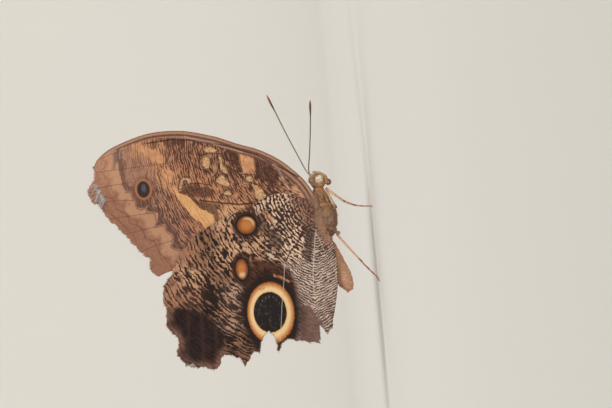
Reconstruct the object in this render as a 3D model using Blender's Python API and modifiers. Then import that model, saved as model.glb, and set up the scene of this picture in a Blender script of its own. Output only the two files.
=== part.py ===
"""Owl butterfly at rest on its four walking legs, wings closed over its back.

Metres, +Z up, the head towards +X and the right wings on the -Y side. Every
dimension below is in millimetres and is scaled by MM when it becomes geometry.
The origin lies on the floor below the middle of the insect's whole length,
from hindwing tip to antenna tip.
"""
import math

import bmesh
import bpy
from mathutils import Vector

MM = 0.001
COLLECTION = "owl_butterfly"
CUTTERS = "owl_butterfly_cutters"
GAP = 0.3                    # clear space left between neighbouring solids
SIDES = (("right", -1.0), ("left", 1.0))
WELD = 0.02                  # points of one solid closer than this become one
ORIGIN_SHIFT = -6.504        # moves the middle of the length over the origin

# Wings
WING_THICKNESS = 0.5
WING_CELL = 4.6              # spacing of the wing sheet's grid
LAYER_STEP = 0.8             # forewing sheet lies this far inside the hindwing sheet
WING_ROOT_Y = 4.05           # hindwing sheet beside the thorax and abdomen
WING_CLOSED_Y = 1.3          # hindwing sheet where the wings meet over the back
WING_FLARE_Y = 0.7           # how much the outer margins open again
BODY_LINE = ((-12.0, 12.0), (14.0, 16.0))
ROOT_REACH = (3.0, 17.0)     # distances from the body line where the sheet closes
FLARE_REACH = (26.0, 70.0)   # distances where it opens again
OUTLINE_DEPTH = 8.0          # how far an outline is extruded to either side
OUTLINE_MARGIN = 1.0         # how far the untrimmed sheet stands past its outline

# Outlines are (x, z) in the plane of the closed wings. "edge" points are
# joined by straight runs, "bend" points by a smooth curve.
FOREWING_OUTLINE = (
    (11.0, 16.5, "edge"), (17.0, 18.0, "bend"), (25.2, 24.2, "bend"), (30.9, 32.0, "bend"),
    (34.2, 40.0, "bend"), (37.5, 48.0, "bend"), (40.2, 61.0, "bend"), (38.4, 74.0, "bend"),
    (33.6, 83.6, "bend"), (30.9, 85.3, "edge"), (27.8, 85.1, "edge"), (24.0, 88.0, "edge"),
    (20.2, 87.0, "edge"), (19.6, 84.8, "edge"), (14.1, 81.8, "edge"), (12.7, 80.1, "edge"),
    (6.8, 75.7, "bend"), (1.7, 71.7, "edge"), (1.2, 70.2, "edge"), (-1.4, 70.7, "bend"),
    (-4.3, 68.9, "bend"), (-3.7, 65.5, "edge"), (-1.5, 56.0, "bend"), (2.0, 40.0, "bend"),
    (7.0, 17.5, "edge"),
)
HINDWING_OUTLINE = (
    (9.0, 16.0, "edge"), (14.0, 19.8, "bend"), (17.4, 27.0, "bend"), (13.6, 40.0, "bend"),
    (9.2, 51.5, "bend"), (3.2, 60.0, "bend"), (-4.9, 64.4, "edge"), (-7.0, 66.4, "bend"),
    (-12.6, 67.5, "bend"), (-15.4, 66.7, "edge"), (-20.8, 66.9, "bend"), (-25.3, 63.6, "edge"),
    (-29.5, 64.8, "bend"), (-33.8, 60.6, "bend"), (-33.9, 56.4, "edge"), (-35.2, 54.0, "bend"),
    (-30.6, 50.4, "edge"), (-32.3, 45.4, "edge"), (-35.1, 44.1, "edge"), (-30.6, 40.9, "edge"),
    (-31.6, 39.3, "edge"), (-27.8, 38.3, "edge"), (-25.3, 36.0, "bend"), (-28.0, 33.8, "edge"),
    (-31.8, 33.3, "edge"), (-28.2, 30.8, "bend"), (-28.6, 27.0, "bend"), (-30.3, 20.2, "edge"),
    (-24.8, 19.7, "edge"), (-27.6, 17.6, "edge"), (-25.9, 16.2, "edge"), (-19.0, 14.3, "bend"),
    (-12.0, 12.9, "bend"), (-4.0, 12.5, "bend"), (1.0, 13.2, "edge"), (5.0, 15.4, "edge"),
)

# Body sections: x, height of the middle, half width, half height, lean of the
# section (how far its top is shifted along x for each unit of height).
THORAX_SECTIONS = (
    (3.0, 15.4, 1.8, 2.0, 0.0), (4.4, 15.6, 3.2, 3.6, 0.0), (7.0, 15.7, 4.0, 4.5, 0.0),
    (10.0, 15.8, 4.1, 4.7, 0.0), (13.0, 15.8, 3.7, 4.1, 0.0), (15.4, 15.9, 2.8, 3.0, 0.0),
    (16.5, 16.0, 1.9, 2.0, 0.0),
)
ABDOMEN_SECTIONS = (
    (1.2, 15.2, 1.5, 1.7, 0.0), (0.1, 15.0, 2.4, 2.8, 0.0), (-2.4, 14.4, 3.0, 3.3, 0.05),
    (-5.4, 13.2, 3.25, 3.4, 0.1), (-8.6, 11.8, 3.2, 3.4, 0.15), (-11.6, 10.9, 2.8, 3.05, 0.2),
    (-13.4, 10.45, 2.1, 2.5, 0.25), (-14.4, 10.2, 1.1, 1.5, 0.25),
)
BODY_SIDES = 18
POLE_BULGE = 0.45            # height of the end cap for each unit of its half width
HEAD_CENTRE = (20.0, 0.0, 16.0)
HEAD_SEMI_AXES = (2.35, 2.3, 2.35)
EYE_CENTRE = (20.6, 1.75, 15.5)
EYE_RADIUS = 1.35

# Limbs and feelers: x, sideways distance, z, radius, for the right side.
ANTENNA_RIGHT = (
    (21.8, 1.0, 18.1, 0.34), (23.6, 1.6, 19.3, 0.27), (28.0, 2.6, 21.2, 0.26),
    (36.0, 4.2, 24.5, 0.26), (42.5, 5.2, 27.0, 0.28), (45.2, 5.6, 28.1, 0.42),
    (48.1, 6.0, 29.2, 0.3),
)
ANTENNA_LEFT = (
    (21.8, 1.0, 18.1, 0.34), (23.8, 1.6, 18.5, 0.27), (29.0, 2.6, 17.7, 0.26),
    (35.0, 4.0, 16.9, 0.26), (40.4, 5.4, 16.3, 0.28), (43.0, 5.9, 16.1, 0.42),
    (45.6, 6.3, 15.9, 0.3),
)
PALP = (
    (19.3, 1.15, 12.9, 0.42), (21.2, 1.15, 13.05, 0.45), (22.8, 1.0, 14.6, 0.42),
    (23.0, 0.75, 16.6, 0.28),
)
PROBOSCIS_CENTRE = (19.1, 12.15)
PROBOSCIS_TURNS = 1.25
PROBOSCIS_STEPS = 15
PROBOSCIS_START = 100.0      # degrees from the x axis to where the coil leaves the head
PROBOSCIS_RADII = (0.32, 1.1)
PROBOSCIS_TUBE = 0.25
FORELEG = ((13.4, 3.7, 13.5, 0.36), (17.0, 3.0, 14.6, 0.34), (14.6, 3.9, 15.0, 0.3))
MIDLEG = (
    (10.4, 2.6, 10.9, 0.5), (11.4, 3.1, 11.4, 0.55), (17.6, 6.5, 13.6, 0.5),
    (12.9, 7.9, 8.2, 0.5), (11.4, 8.6, 5.0, 0.36), (10.8, 9.2, 1.3, 0.33),
    (10.7, 9.6, 0.26, 0.33), (10.6, 10.9, 0.26, 0.3),
)
HINDLEG = (
    (3.6, 2.0, 11.0, 0.5), (3.4, 3.0, 11.1, 0.55), (2.8, 7.2, 11.6, 0.5),
    (-6.1, 9.2, 4.9, 0.48), (-8.6, 9.7, 2.9, 0.36), (-11.4, 10.2, 0.6, 0.33),
    (-11.9, 10.5, 0.26, 0.33), (-12.6, 11.5, 0.26, 0.3),
)

# Colours are linear RGB.
COLOURS = {
    "hindwing": (0.26, 0.17, 0.12),
    "forewing": (0.36, 0.21, 0.14),
    "thorax": (0.22, 0.15, 0.11),
    "abdomen": (0.48, 0.27, 0.19),
    "head": (0.30, 0.19, 0.12),
    "eye": (0.55, 0.47, 0.34),
    "palp": (0.42, 0.28, 0.18),
    "proboscis": (0.16, 0.09, 0.07),
    "antenna": (0.12, 0.10, 0.06),
    "leg": (0.55, 0.36, 0.24),
}
ROUGHNESS = {"eye": 0.25, "proboscis": 0.4}
DEFAULT_ROUGHNESS = 0.75


def place(x, y, z):
    """Millimetre position in the insect's own layout to a scene position."""
    return Vector((x + ORIGIN_SHIFT, y, z)) * MM


def smooth_step(low, high, value):
    t = min(max((value - low) / (high - low), 0.0), 1.0)
    return t * t * (3.0 - 2.0 * t)


def clear_scene():
    for old in list(bpy.data.objects):
        bpy.data.objects.remove(old, do_unlink=True)


def new_collection(name):
    made = bpy.data.collections.new(name)
    bpy.context.scene.collection.children.link(made)
    return made


def material(name, kind):
    made = bpy.data.materials.new(name)
    made.use_nodes = True
    shader = made.node_tree.nodes["Principled BSDF"]
    shader.inputs["Base Color"].default_value = (*COLOURS[kind], 1.0)
    shader.inputs["Roughness"].default_value = ROUGHNESS.get(kind, DEFAULT_ROUGHNESS)
    shader.inputs["Metallic"].default_value = 0.0
    made.diffuse_color = (*COLOURS[kind], 1.0)
    return made


def object_from_bmesh(name, bm, collection, kind=None):
    mesh = bpy.data.meshes.new(name)
    bm.to_mesh(mesh)
    bm.free()
    made = bpy.data.objects.new(name, mesh)
    collection.objects.link(made)
    if kind:
        mesh.materials.append(material(name, kind))
        mesh.shade_smooth()
    return made


def mark_as_cutter(made):
    made.hide_render = True
    made.display_type = "WIRE"


def add_boolean(target, cutter, operation):
    modifier = target.modifiers.new(f"{operation.lower()} {cutter.name}", "BOOLEAN")
    modifier.object = cutter
    modifier.operation = operation
    modifier.solver = "EXACT"


def mesh_from_curve(made, name, collection):
    """Replace a curve object with a mesh object whose caps are welded on."""
    depsgraph = bpy.context.evaluated_depsgraph_get()
    mesh = bpy.data.meshes.new_from_object(made.evaluated_get(depsgraph))
    matrix = made.matrix_world.copy()
    curve = made.data
    bpy.data.objects.remove(made, do_unlink=True)
    bpy.data.curves.remove(curve)
    mesh.name = name
    result = bpy.data.objects.new(name, mesh)
    result.matrix_world = matrix
    collection.objects.link(result)
    bm = bmesh.new()
    bm.from_mesh(mesh)
    bmesh.ops.remove_doubles(bm, verts=bm.verts, dist=WELD * MM)
    bmesh.ops.recalc_face_normals(bm, faces=bm.faces)
    bm.to_mesh(mesh)
    bm.free()
    return result


def tube(name, points, kind, collection, side=1.0, smooth=False):
    """Round limb through points of x, sideways distance, z and radius."""
    curve = bpy.data.curves.new(name, "CURVE")
    curve.dimensions = "3D"
    curve.bevel_depth = MM
    curve.bevel_resolution = 2
    curve.use_fill_caps = True
    if smooth:
        curve.resolution_u = 4
        spline = curve.splines.new("BEZIER")
        spline.bezier_points.add(len(points) - 1)
        for knot, (x, y, z, radius) in zip(spline.bezier_points, points):
            knot.co = place(x, y * side, z)
            knot.radius = radius
            knot.handle_left_type = "AUTO"
            knot.handle_right_type = "AUTO"
    else:
        spline = curve.splines.new("POLY")
        spline.points.add(len(points) - 1)
        for knot, (x, y, z, radius) in zip(spline.points, points):
            knot.co = (*place(x, y * side, z), 1.0)
            knot.radius = radius
    made = bpy.data.objects.new(name, curve)
    collection.objects.link(made)
    result = mesh_from_curve(made, name, collection)
    result.data.materials.clear()
    result.data.materials.append(material(name, kind))
    result.data.shade_smooth()
    return result


def flatten_foot(made):
    """Cut a leg off level with the floor, so that its toe rests on a small flat."""
    bm = bmesh.new()
    bm.from_mesh(made.data)
    everything = list(bm.verts) + list(bm.edges) + list(bm.faces)
    cut = bmesh.ops.bisect_plane(
        bm,
        geom=everything,
        plane_co=(0.0, 0.0, 0.0),
        plane_no=(0.0, 0.0, -1.0),
        clear_outer=True,
    )
    rim = [item for item in cut["geom_cut"] if isinstance(item, bmesh.types.BMEdge)]
    bmesh.ops.contextual_create(bm, geom=rim)
    bmesh.ops.recalc_face_normals(bm, faces=bm.faces)
    bm.to_mesh(made.data)
    bm.free()


def loft(name, sections, collection, kind=None, grow=0.0):
    """Closed body through oval sections, with a pole at each end."""
    bm = bmesh.new()
    rings = []
    for x, middle, half_width, half_height, lean in sections:
        ring = []
        for step in range(BODY_SIDES):
            angle = 2.0 * math.pi * step / BODY_SIDES
            y = (half_width + grow) * math.cos(angle)
            z = (half_height + grow) * math.sin(angle)
            ring.append(bm.verts.new(place(x + lean * z, y, middle + z)))
        rings.append(ring)
    for ring, following in zip(rings, rings[1:]):
        for step in range(BODY_SIDES):
            after = (step + 1) % BODY_SIDES
            bm.faces.new((ring[step], ring[after], following[after], following[step]))
    ends = ((rings[0], sections[0], sections[1]), (rings[-1], sections[-1], sections[-2]))
    for ring, section, neighbour in ends:
        x, middle, half_width = section[:3]
        outward = math.copysign(POLE_BULGE * half_width + grow, x - neighbour[0])
        pole = bm.verts.new(place(x + outward, 0.0, middle))
        for step in range(BODY_SIDES):
            bm.faces.new((ring[step], ring[(step + 1) % BODY_SIDES], pole))
    bmesh.ops.recalc_face_normals(bm, faces=bm.faces)
    return object_from_bmesh(name, bm, collection, kind)


def ball(name, centre, semi_axes, collection, kind=None):
    bm = bmesh.new()
    bmesh.ops.create_uvsphere(bm, u_segments=18, v_segments=12, radius=1.0)
    for vert in bm.verts:
        x, y, z = (vert.co[axis] * semi_axes[axis] + centre[axis] for axis in range(3))
        vert.co = place(x, y, z)
    bmesh.ops.recalc_face_normals(bm, faces=bm.faces)
    return object_from_bmesh(name, bm, collection, kind)


def body_distance(x, z):
    """Distance in the wing plane from the line through thorax and abdomen."""
    (x0, z0), (x1, z1) = BODY_LINE
    along = ((x - x0) * (x1 - x0) + (z - z0) * (z1 - z0)) / ((x1 - x0) ** 2 + (z1 - z0) ** 2)
    along = min(max(along, 0.0), 1.0)
    return math.hypot(x - x0 - along * (x1 - x0), z - z0 - along * (z1 - z0))


def sheet_height(x, z):
    """Sideways place of the hindwing sheet: wide round the body, closed above it."""
    reach = body_distance(x, z)
    closing = 1.0 - smooth_step(*ROOT_REACH, reach)
    opening = smooth_step(*FLARE_REACH, reach)
    return WING_CLOSED_Y + (WING_ROOT_Y - WING_CLOSED_Y) * closing + WING_FLARE_Y * opening


def outline_prism(name, outline, collection):
    """Wing outline as a flat curve, extruded across the insect into a cutter."""
    curve = bpy.data.curves.new(name, "CURVE")
    curve.dimensions = "2D"
    curve.fill_mode = "BOTH"
    curve.extrude = OUTLINE_DEPTH * MM
    curve.resolution_u = 4
    spline = curve.splines.new("BEZIER")
    spline.bezier_points.add(len(outline) - 1)
    spline.use_cyclic_u = True
    for knot, (x, z, style) in zip(spline.bezier_points, outline):
        spot = place(x, 0.0, z)
        knot.co = (spot.x, spot.z, 0.0)
        handle = "AUTO" if style == "bend" else "VECTOR"
        knot.handle_left_type = handle
        knot.handle_right_type = handle
    made = bpy.data.objects.new(name, curve)
    made.rotation_euler = (math.radians(90.0), 0.0, 0.0)
    collection.objects.link(made)
    bpy.context.view_layer.update()
    cutter = mesh_from_curve(made, name, collection)
    mark_as_cutter(cutter)
    return cutter


def wing(name, kind, outline, cutters, inset, side, collection):
    """Curved sheet of even thickness, trimmed to the outline and clear of the thorax."""
    low_x = min(point[0] for point in outline) - OUTLINE_MARGIN
    high_x = max(point[0] for point in outline) + OUTLINE_MARGIN
    low_z = min(point[1] for point in outline) - OUTLINE_MARGIN
    high_z = max(point[1] for point in outline) + OUTLINE_MARGIN
    bm = bmesh.new()
    bmesh.ops.create_grid(
        bm,
        x_segments=round((high_x - low_x) / WING_CELL),
        y_segments=round((high_z - low_z) / WING_CELL),
        size=0.5,
    )
    for vert in bm.verts:
        x = low_x + (vert.co.x + 0.5) * (high_x - low_x)
        z = low_z + (vert.co.y + 0.5) * (high_z - low_z)
        vert.co = place(x, side * (sheet_height(x, z) - inset), z)
    made = object_from_bmesh(name, bm, collection, kind)
    thickness = made.modifiers.new("thickness", "SOLIDIFY")
    thickness.thickness = WING_THICKNESS * MM
    thickness.offset = 0.0
    outline_cutter, thorax_cutter = cutters
    add_boolean(made, outline_cutter, "INTERSECT")
    add_boolean(made, thorax_cutter, "DIFFERENCE")


def build_wings(collection, cutters):
    thorax_cutter = loft("thorax_clearance", THORAX_SECTIONS, cutters, grow=GAP)
    mark_as_cutter(thorax_cutter)
    kinds = (("forewing", FOREWING_OUTLINE, LAYER_STEP), ("hindwing", HINDWING_OUTLINE, 0.0))
    for kind, outline, inset in kinds:
        outline_cutter = outline_prism(f"{kind}_outline", outline, cutters)
        for label, side in SIDES:
            pair = (outline_cutter, thorax_cutter)
            wing(f"{kind}_{label}", kind, outline, pair, inset, side, collection)


def build_head(collection, cutters):
    head = ball("head", HEAD_CENTRE, HEAD_SEMI_AXES, collection, "head")
    x, y, z = EYE_CENTRE
    for label, side in SIDES:
        centre = (x, y * side, z)
        socket_radius = EYE_RADIUS + GAP
        ball(f"eye_{label}", centre, (EYE_RADIUS,) * 3, collection, "eye")
        socket = ball(f"eye_socket_{label}", centre, (socket_radius,) * 3, cutters)
        mark_as_cutter(socket)
        add_boolean(head, socket, "DIFFERENCE")
        tube(f"palp_{label}", PALP, "palp", collection, side, smooth=True)
    tube("antenna_right", ANTENNA_RIGHT, "antenna", collection, -1.0, smooth=True)
    tube("antenna_left", ANTENNA_LEFT, "antenna", collection, 1.0, smooth=True)
    build_proboscis(collection)


def build_proboscis(collection):
    """Feeding tube, coiled flat below the head."""
    inner, outer = PROBOSCIS_RADII
    middle_x, middle_z = PROBOSCIS_CENTRE
    points = []
    for step in range(PROBOSCIS_STEPS + 1):
        part = step / PROBOSCIS_STEPS
        angle = math.radians(PROBOSCIS_START - part * PROBOSCIS_TURNS * 360.0)
        radius = outer + (inner - outer) * part
        x = middle_x + radius * math.cos(angle)
        z = middle_z + radius * math.sin(angle)
        points.append((x, 0.0, z, PROBOSCIS_TUBE))
    tube("proboscis", points, "proboscis", collection)


def build_legs(collection):
    for label, side in SIDES:
        tube(f"foreleg_{label}", FORELEG, "leg", collection, side)
        for name, points in (("midleg", MIDLEG), ("hindleg", HINDLEG)):
            flatten_foot(tube(f"{name}_{label}", points, "leg", collection, side))


def main():
    clear_scene()
    collection = new_collection(COLLECTION)
    cutters = new_collection(CUTTERS)
    loft("thorax", THORAX_SECTIONS, collection, "thorax")
    loft("abdomen", ABDOMEN_SECTIONS, collection, "abdomen")
    build_head(collection, cutters)
    build_wings(collection, cutters)
    build_legs(collection)


main()
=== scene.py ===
"""Looks of the resting owl butterfly: patterned wing sheets over the CAD wings, one skin
with a coat of scale tufts over the CAD body, and finer eyes, feelers and legs.

The layout is part.py's own: x runs towards the head, y to the left side, z up, in
millimetres, before SHIFT moves the middle of the length over the origin.
"""
import math

import bpy
import numpy as np
from mathutils import Matrix, Vector, noise
from mathutils.geometry import delaunay_2d_cdt


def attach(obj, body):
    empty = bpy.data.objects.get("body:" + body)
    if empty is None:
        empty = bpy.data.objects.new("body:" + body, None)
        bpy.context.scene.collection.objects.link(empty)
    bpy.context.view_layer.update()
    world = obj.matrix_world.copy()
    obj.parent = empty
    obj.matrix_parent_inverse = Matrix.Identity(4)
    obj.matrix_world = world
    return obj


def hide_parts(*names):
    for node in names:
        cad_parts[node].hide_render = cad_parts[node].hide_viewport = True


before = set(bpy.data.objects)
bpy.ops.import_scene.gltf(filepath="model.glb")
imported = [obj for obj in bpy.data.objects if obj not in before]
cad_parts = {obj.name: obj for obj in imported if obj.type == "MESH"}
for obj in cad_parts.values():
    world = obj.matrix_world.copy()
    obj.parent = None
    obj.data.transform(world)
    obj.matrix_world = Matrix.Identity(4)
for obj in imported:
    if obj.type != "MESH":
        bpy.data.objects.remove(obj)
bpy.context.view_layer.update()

MM = 0.001
SHIFT = np.array((-6.504, 0.0, 0.0))
SIDES = (("right", -1.0), ("left", 1.0))
RANDOM = np.random.default_rng(31)

# The sheets that the wings follow, as in part.py
LAYER_STEP = 0.8
WING_ROOT_Y = 4.05
WING_CLOSED_Y = 1.3
WING_FLARE_Y = 0.7
BODY_LINE = ((-12.0, 12.0), (14.0, 16.0))
ROOT_REACH = (3.0, 17.0)
FLARE_REACH = (26.0, 70.0)

SHEET_SPACING = 0.42         # distance between the points of a wing sheet
LINE_SPACING = 0.32          # the same along veins and markings
LINE_CLEARANCE = 0.26        # room kept free of other points beside them
RIM_SPACING = 0.3
RIM_CLEARANCE = 0.22
OUTER_FACE = 0.12            # underside of the wing, measured out from the sheet
WING_THICKNESS = 0.18
VEIN_HEIGHT = 0.1
PLEAT_DEPTH = 0.14
WAVE_HEIGHT = 0.16           # of the waves in the outer part of the sheet
WAVE_RUN = (0.32, 0.21)      # their turns, in radians, along x and z
DORSAL_LAYER = 40.0          # how far the upper side is from the underside in the noises
# Bake map of a wing: width of underside and upper side, start of the upper side, margin, most height
MAP_UNDERSIDE = 0.6
MAP_UPPER_SIDE = 0.34
MAP_UPPER_START = 0.64
MAP_MARGIN = 0.01
MAP_HEIGHT = 0.97

FOREWING_OUTLINE = (
    (11.0, 16.5, "edge"), (17.0, 18.0, "bend"), (25.2, 24.2, "bend"), (30.9, 32.0, "bend"),
    (34.2, 40.0, "bend"), (37.5, 48.0, "bend"), (40.2, 61.0, "bend"), (38.4, 74.0, "bend"),
    (33.6, 83.6, "bend"), (30.9, 85.3, "edge"), (27.8, 85.1, "edge"), (24.0, 88.0, "edge"),
    (20.2, 87.0, "edge"), (19.6, 84.8, "edge"), (14.1, 81.8, "edge"), (12.7, 80.1, "edge"),
    (6.8, 75.7, "bend"), (1.7, 71.7, "edge"), (1.2, 70.2, "edge"), (-1.4, 70.7, "bend"),
    (-4.3, 68.9, "bend"), (-3.7, 65.5, "edge"), (-1.5, 56.0, "bend"), (2.0, 40.0, "bend"),
    (7.0, 17.5, "edge"),
)
HINDWING_OUTLINE = (
    (9.0, 16.0, "edge"), (14.0, 19.8, "bend"), (17.4, 27.0, "bend"), (13.6, 40.0, "bend"),
    (9.2, 51.5, "bend"), (3.2, 60.0, "bend"), (-4.9, 64.4, "edge"), (-7.0, 66.4, "bend"),
    (-12.6, 67.5, "bend"), (-15.4, 66.7, "edge"), (-20.8, 66.9, "bend"), (-25.3, 63.6, "edge"),
    (-29.5, 64.8, "bend"), (-33.8, 60.6, "bend"), (-33.9, 56.4, "edge"), (-35.2, 54.0, "bend"),
    (-30.6, 50.4, "edge"), (-32.3, 45.4, "edge"), (-35.1, 44.1, "edge"), (-30.6, 40.9, "edge"),
    (-31.6, 39.3, "edge"), (-27.8, 38.3, "edge"), (-25.3, 36.0, "bend"), (-28.0, 33.8, "edge"),
    (-31.8, 33.3, "edge"), (-28.2, 30.8, "bend"), (-28.6, 27.0, "bend"), (-30.3, 20.2, "edge"),
    (-24.8, 19.7, "edge"), (-27.6, 17.6, "edge"), (-25.9, 16.2, "edge"), (-19.0, 14.3, "bend"),
    (-12.0, 12.9, "bend"), (-4.0, 12.5, "bend"), (1.0, 13.2, "edge"), (5.0, 15.4, "edge"),
)

# Wing markings: outlines of blotches and lines as (x, z).
FOREWING_TAN = (
    ((20.6, 60.2), (19.2, 57.2), (18.2, 56.3), (16.0, 54.4), (14.6, 53.4), (14.0, 51.7),
     (12.5, 49.8), (10.4, 49.4), (8.8, 50.8), (8.7, 52.2), (10.3, 52.8), (11.7, 54.4),
     (12.8, 55.6), (14.8, 57.0), (16.9, 58.6), (18.8, 59.6)),
)
FOREWING_RIPPLED_TAN = (
    ((37.3, 71.0), (36.1, 68.6), (35.0, 66.8), (33.8, 64.3), (31.7, 62.9), (30.5, 64.0),
     (31.4, 65.8), (33.2, 68.2), (35.0, 70.0)),
    ((28.6, 64.2), (28.1, 62.0), (26.7, 60.8), (24.4, 60.7), (23.9, 61.8), (25.6, 62.9),
     (26.7, 64.0)),
    ((23.0, 62.2), (22.8, 60.3), (21.1, 59.6), (20.3, 60.8), (21.4, 62.0)),
    ((31.1, 39.5), (30.9, 37.5), (29.8, 36.0), (28.4, 34.8), (24.7, 35.5), (24.1, 36.9),
     (25.3, 38.7), (27.3, 39.4), (29.6, 39.9)),
)
FOREWING_CREAM = (
    ((33.4, 50.7), (34.1, 49.5), (33.7, 47.7), (32.6, 46.3), (31.9, 47.2), (32.1, 49.1)),
    ((30.9, 51.0), (31.0, 49.5), (29.7, 49.0), (27.5, 49.4), (27.1, 50.5), (28.6, 51.4)),
    ((31.0, 46.0), (30.3, 45.3), (28.0, 45.0), (27.0, 44.2), (25.3, 43.8), (25.1, 44.3),
     (26.5, 45.8), (28.7, 45.9)),
    ((24.9, 46.0), (24.2, 44.8), (22.8, 44.6), (22.4, 43.3), (21.2, 43.8), (21.7, 45.6),
     (23.2, 47.7), (23.8, 47.4)),
    ((19.7, 45.5), (19.9, 44.2), (18.9, 43.0), (18.3, 43.4), (18.8, 45.3)),
    ((23.3, 38.2), (23.8, 36.6), (22.5, 36.1), (21.9, 36.8), (22.4, 38.3)),
    ((21.2, 36.5), (20.4, 35.0), (19.0, 33.5), (17.3, 32.4), (16.1, 32.9), (15.5, 34.2),
     (16.3, 35.4), (18.3, 35.8)),
)
FOREWING_HOOK = (
    (21.4, 59.0), (23.0, 58.7), (24.2, 58.2), (24.8, 57.5), (24.8, 56.5), (23.9, 55.7), (23.2, 56.2),
)
HOOK_WIDTH = 0.34
FOREWING_DARK = (
    ((21.0, 58.5), (22.5, 57.4), (22.6, 55.2), (21.7, 52.7), (21.8, 50.1), (20.4, 48.7),
     (18.8, 49.1), (18.4, 51.4), (18.7, 54.6), (19.6, 56.7)),
    ((18.5, 55.6), (17.3, 53.1), (16.7, 50.6), (16.0, 46.8), (14.2, 48.0), (11.6, 47.6),
     (10.1, 48.7), (12.1, 49.8), (14.0, 51.8), (14.7, 53.4), (16.8, 54.8)),
    ((31.5, 43.2), (31.9, 40.6), (29.8, 39.5), (27.9, 39.4), (25.0, 39.0), (25.1, 40.3),
     (27.5, 41.7), (29.2, 42.8)),
    ((29.4, 35.4), (29.2, 32.8), (26.7, 29.9), (23.6, 28.3), (19.1, 28.4), (19.0, 30.6),
     (21.8, 32.3), (24.2, 34.6), (26.9, 35.3)),
    ((15.1, 23.0), (14.4, 19.6), (11.4, 18.6), (9.0, 19.5), (8.2, 21.1), (10.6, 22.8)),
)
FOREWING_GREY = (
    ((34.9, 78.9), (35.7, 77.6), (35.6, 76.5), (33.8, 77.1), (32.5, 77.1), (31.3, 78.3),
     (30.1, 78.6), (30.1, 79.4), (32.6, 78.8)),
)
MARGIN_BORDER = (
    (38.5, 77.5), (30.0, 77.5), (24.5, 76.8), (22.7, 76.0), (22.6, 74.4), (19.6, 73.2),
    (17.6, 73.0), (16.9, 71.7), (17.1, 70.4), (17.6, 69.6), (16.1, 69.9), (15.6, 69.0),
    (15.5, 67.4), (14.8, 66.5), (12.3, 67.1), (11.0, 67.8), (11.2, 66.2), (11.4, 64.9),
    (9.1, 64.2), (7.7, 62.7), (5.7, 62.6), (4.2, 63.4), (3.4, 62.2), (3.0, 60.6), (0.7, 60.5),
    (-8.0, 60.0), (-12.0, 95.0), (45.0, 95.0), (45.0, 80.0),
)
# Lines: half width and points
FOREWING_DARK_LINES = (
    (0.24, ((22.0, 22.0), (30.0, 34.0), (34.0, 44.0), (36.3, 52.0), (37.5, 60.0), (37.0, 68.0))),
    (0.30, ((17.7, 53.2), (17.0, 50.1), (16.0, 45.4), (15.2, 40.6), (15.2, 37.4))),
    (0.16, ((22.0, 49.0), (23.0, 53.0), (23.2, 57.4), (21.6, 59.0))),
    (0.16, ((31.4, 44.6), (32.2, 48.6), (31.6, 52.0), (27.6, 52.6), (26.4, 50.0))),
    (0.15, ((28.3, 45.9), (25.2, 47.4), (24.4, 49.0), (21.4, 47.6))),
    (0.15, ((24.6, 40.4), (24.2, 36.0), (21.6, 33.0), (19.0, 31.2))),
)
FOREWING_FINE_LINES = (
    (0.26, ((22.4, 76.1), (22.3, 74.6), (19.5, 73.5), (17.2, 73.1), (16.5, 71.8), (17.0, 70.0),
            (15.7, 70.1), (15.2, 69.0), (15.2, 67.7), (12.4, 67.4), (10.7, 68.0), (11.0, 65.2),
            (9.0, 64.5), (7.6, 63.0), (5.8, 62.9), (4.1, 63.7), (3.0, 62.3), (2.6, 60.9))),
    (0.15, ((36.0, 74.0), (34.8, 79.0), (33.0, 84.0))),
    (0.15, ((30.2, 60.0), (30.0, 70.0), (29.5, 85.0))),
    (0.15, ((25.4, 74.0), (25.0, 80.0), (24.3, 87.0))),
    (0.15, ((19.6, 73.6), (20.3, 79.0), (19.8, 86.0))),
    (0.15, ((15.2, 69.0), (15.0, 75.0), (14.6, 82.0))),
    (0.15, ((11.0, 67.0), (10.2, 72.0), (9.4, 78.0))),
    (0.15, ((6.0, 63.5), (4.8, 69.0), (3.2, 74.0))),
    (0.15, ((18.6, 84.2), (14.6, 79.6), (10.6, 76.4))),
    (0.15, ((22.3, 83.6), (21.0, 80.5), (17.4, 79.4), (16.0, 76.6), (12.6, 75.4), (11.2, 72.4),
            (7.8, 71.2), (6.4, 68.6), (2.6, 67.6), (0.6, 65.4))),
)
FOREWING_PALE_LINES = (
    (0.28, ((38.0, 56.0), (36.4, 52.0), (35.5, 48.6), (33.7, 44.8), (32.4, 41.0), (31.3, 38.6))),
    (0.45, ((26.6, 29.2), (24.6, 27.8), (21.0, 26.4), (18.4, 25.2))),
    (0.26, ((35.9, 74.7), (36.2, 75.6), (35.9, 76.3), (34.7, 76.8), (33.1, 76.8))),
    (0.22, ((33.6, 75.9), (33.2, 75.3), (32.4, 74.9))),
)
FOREWING_VEINS = (
    ((14.0, 18.0), (22.0, 23.0), (30.0, 34.0), (34.0, 44.0), (36.3, 52.0), (38.0, 62.0), (37.0, 72.0)),
    ((14.0, 19.0), (26.0, 34.0), (32.0, 46.0), (35.0, 58.0), (36.0, 66.0), (33.0, 83.0)),
    ((31.0, 46.0), (30.0, 54.0), (30.0, 66.0), (29.5, 85.0)),
    ((31.0, 52.0), (24.0, 56.0), (20.0, 56.0)),
    ((24.0, 56.0), (25.5, 66.0), (24.3, 87.0)),
    ((20.0, 56.0), (20.4, 70.0), (19.8, 86.0)),
    ((17.0, 52.0), (15.5, 66.0), (14.6, 82.0)),
    ((15.5, 30.0), (16.0, 44.0), (17.0, 52.0), (20.0, 56.0)),
    ((16.5, 46.0), (11.0, 62.0), (9.4, 78.0)),
    ((14.0, 22.0), (14.0, 40.0), (6.0, 58.0), (3.0, 73.0)),
)
SMALL_EYE = ((22.8, 70.4), (2.3, 1.75), (3.25, 2.65))      # centre, pupil and ring semi-axes

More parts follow.
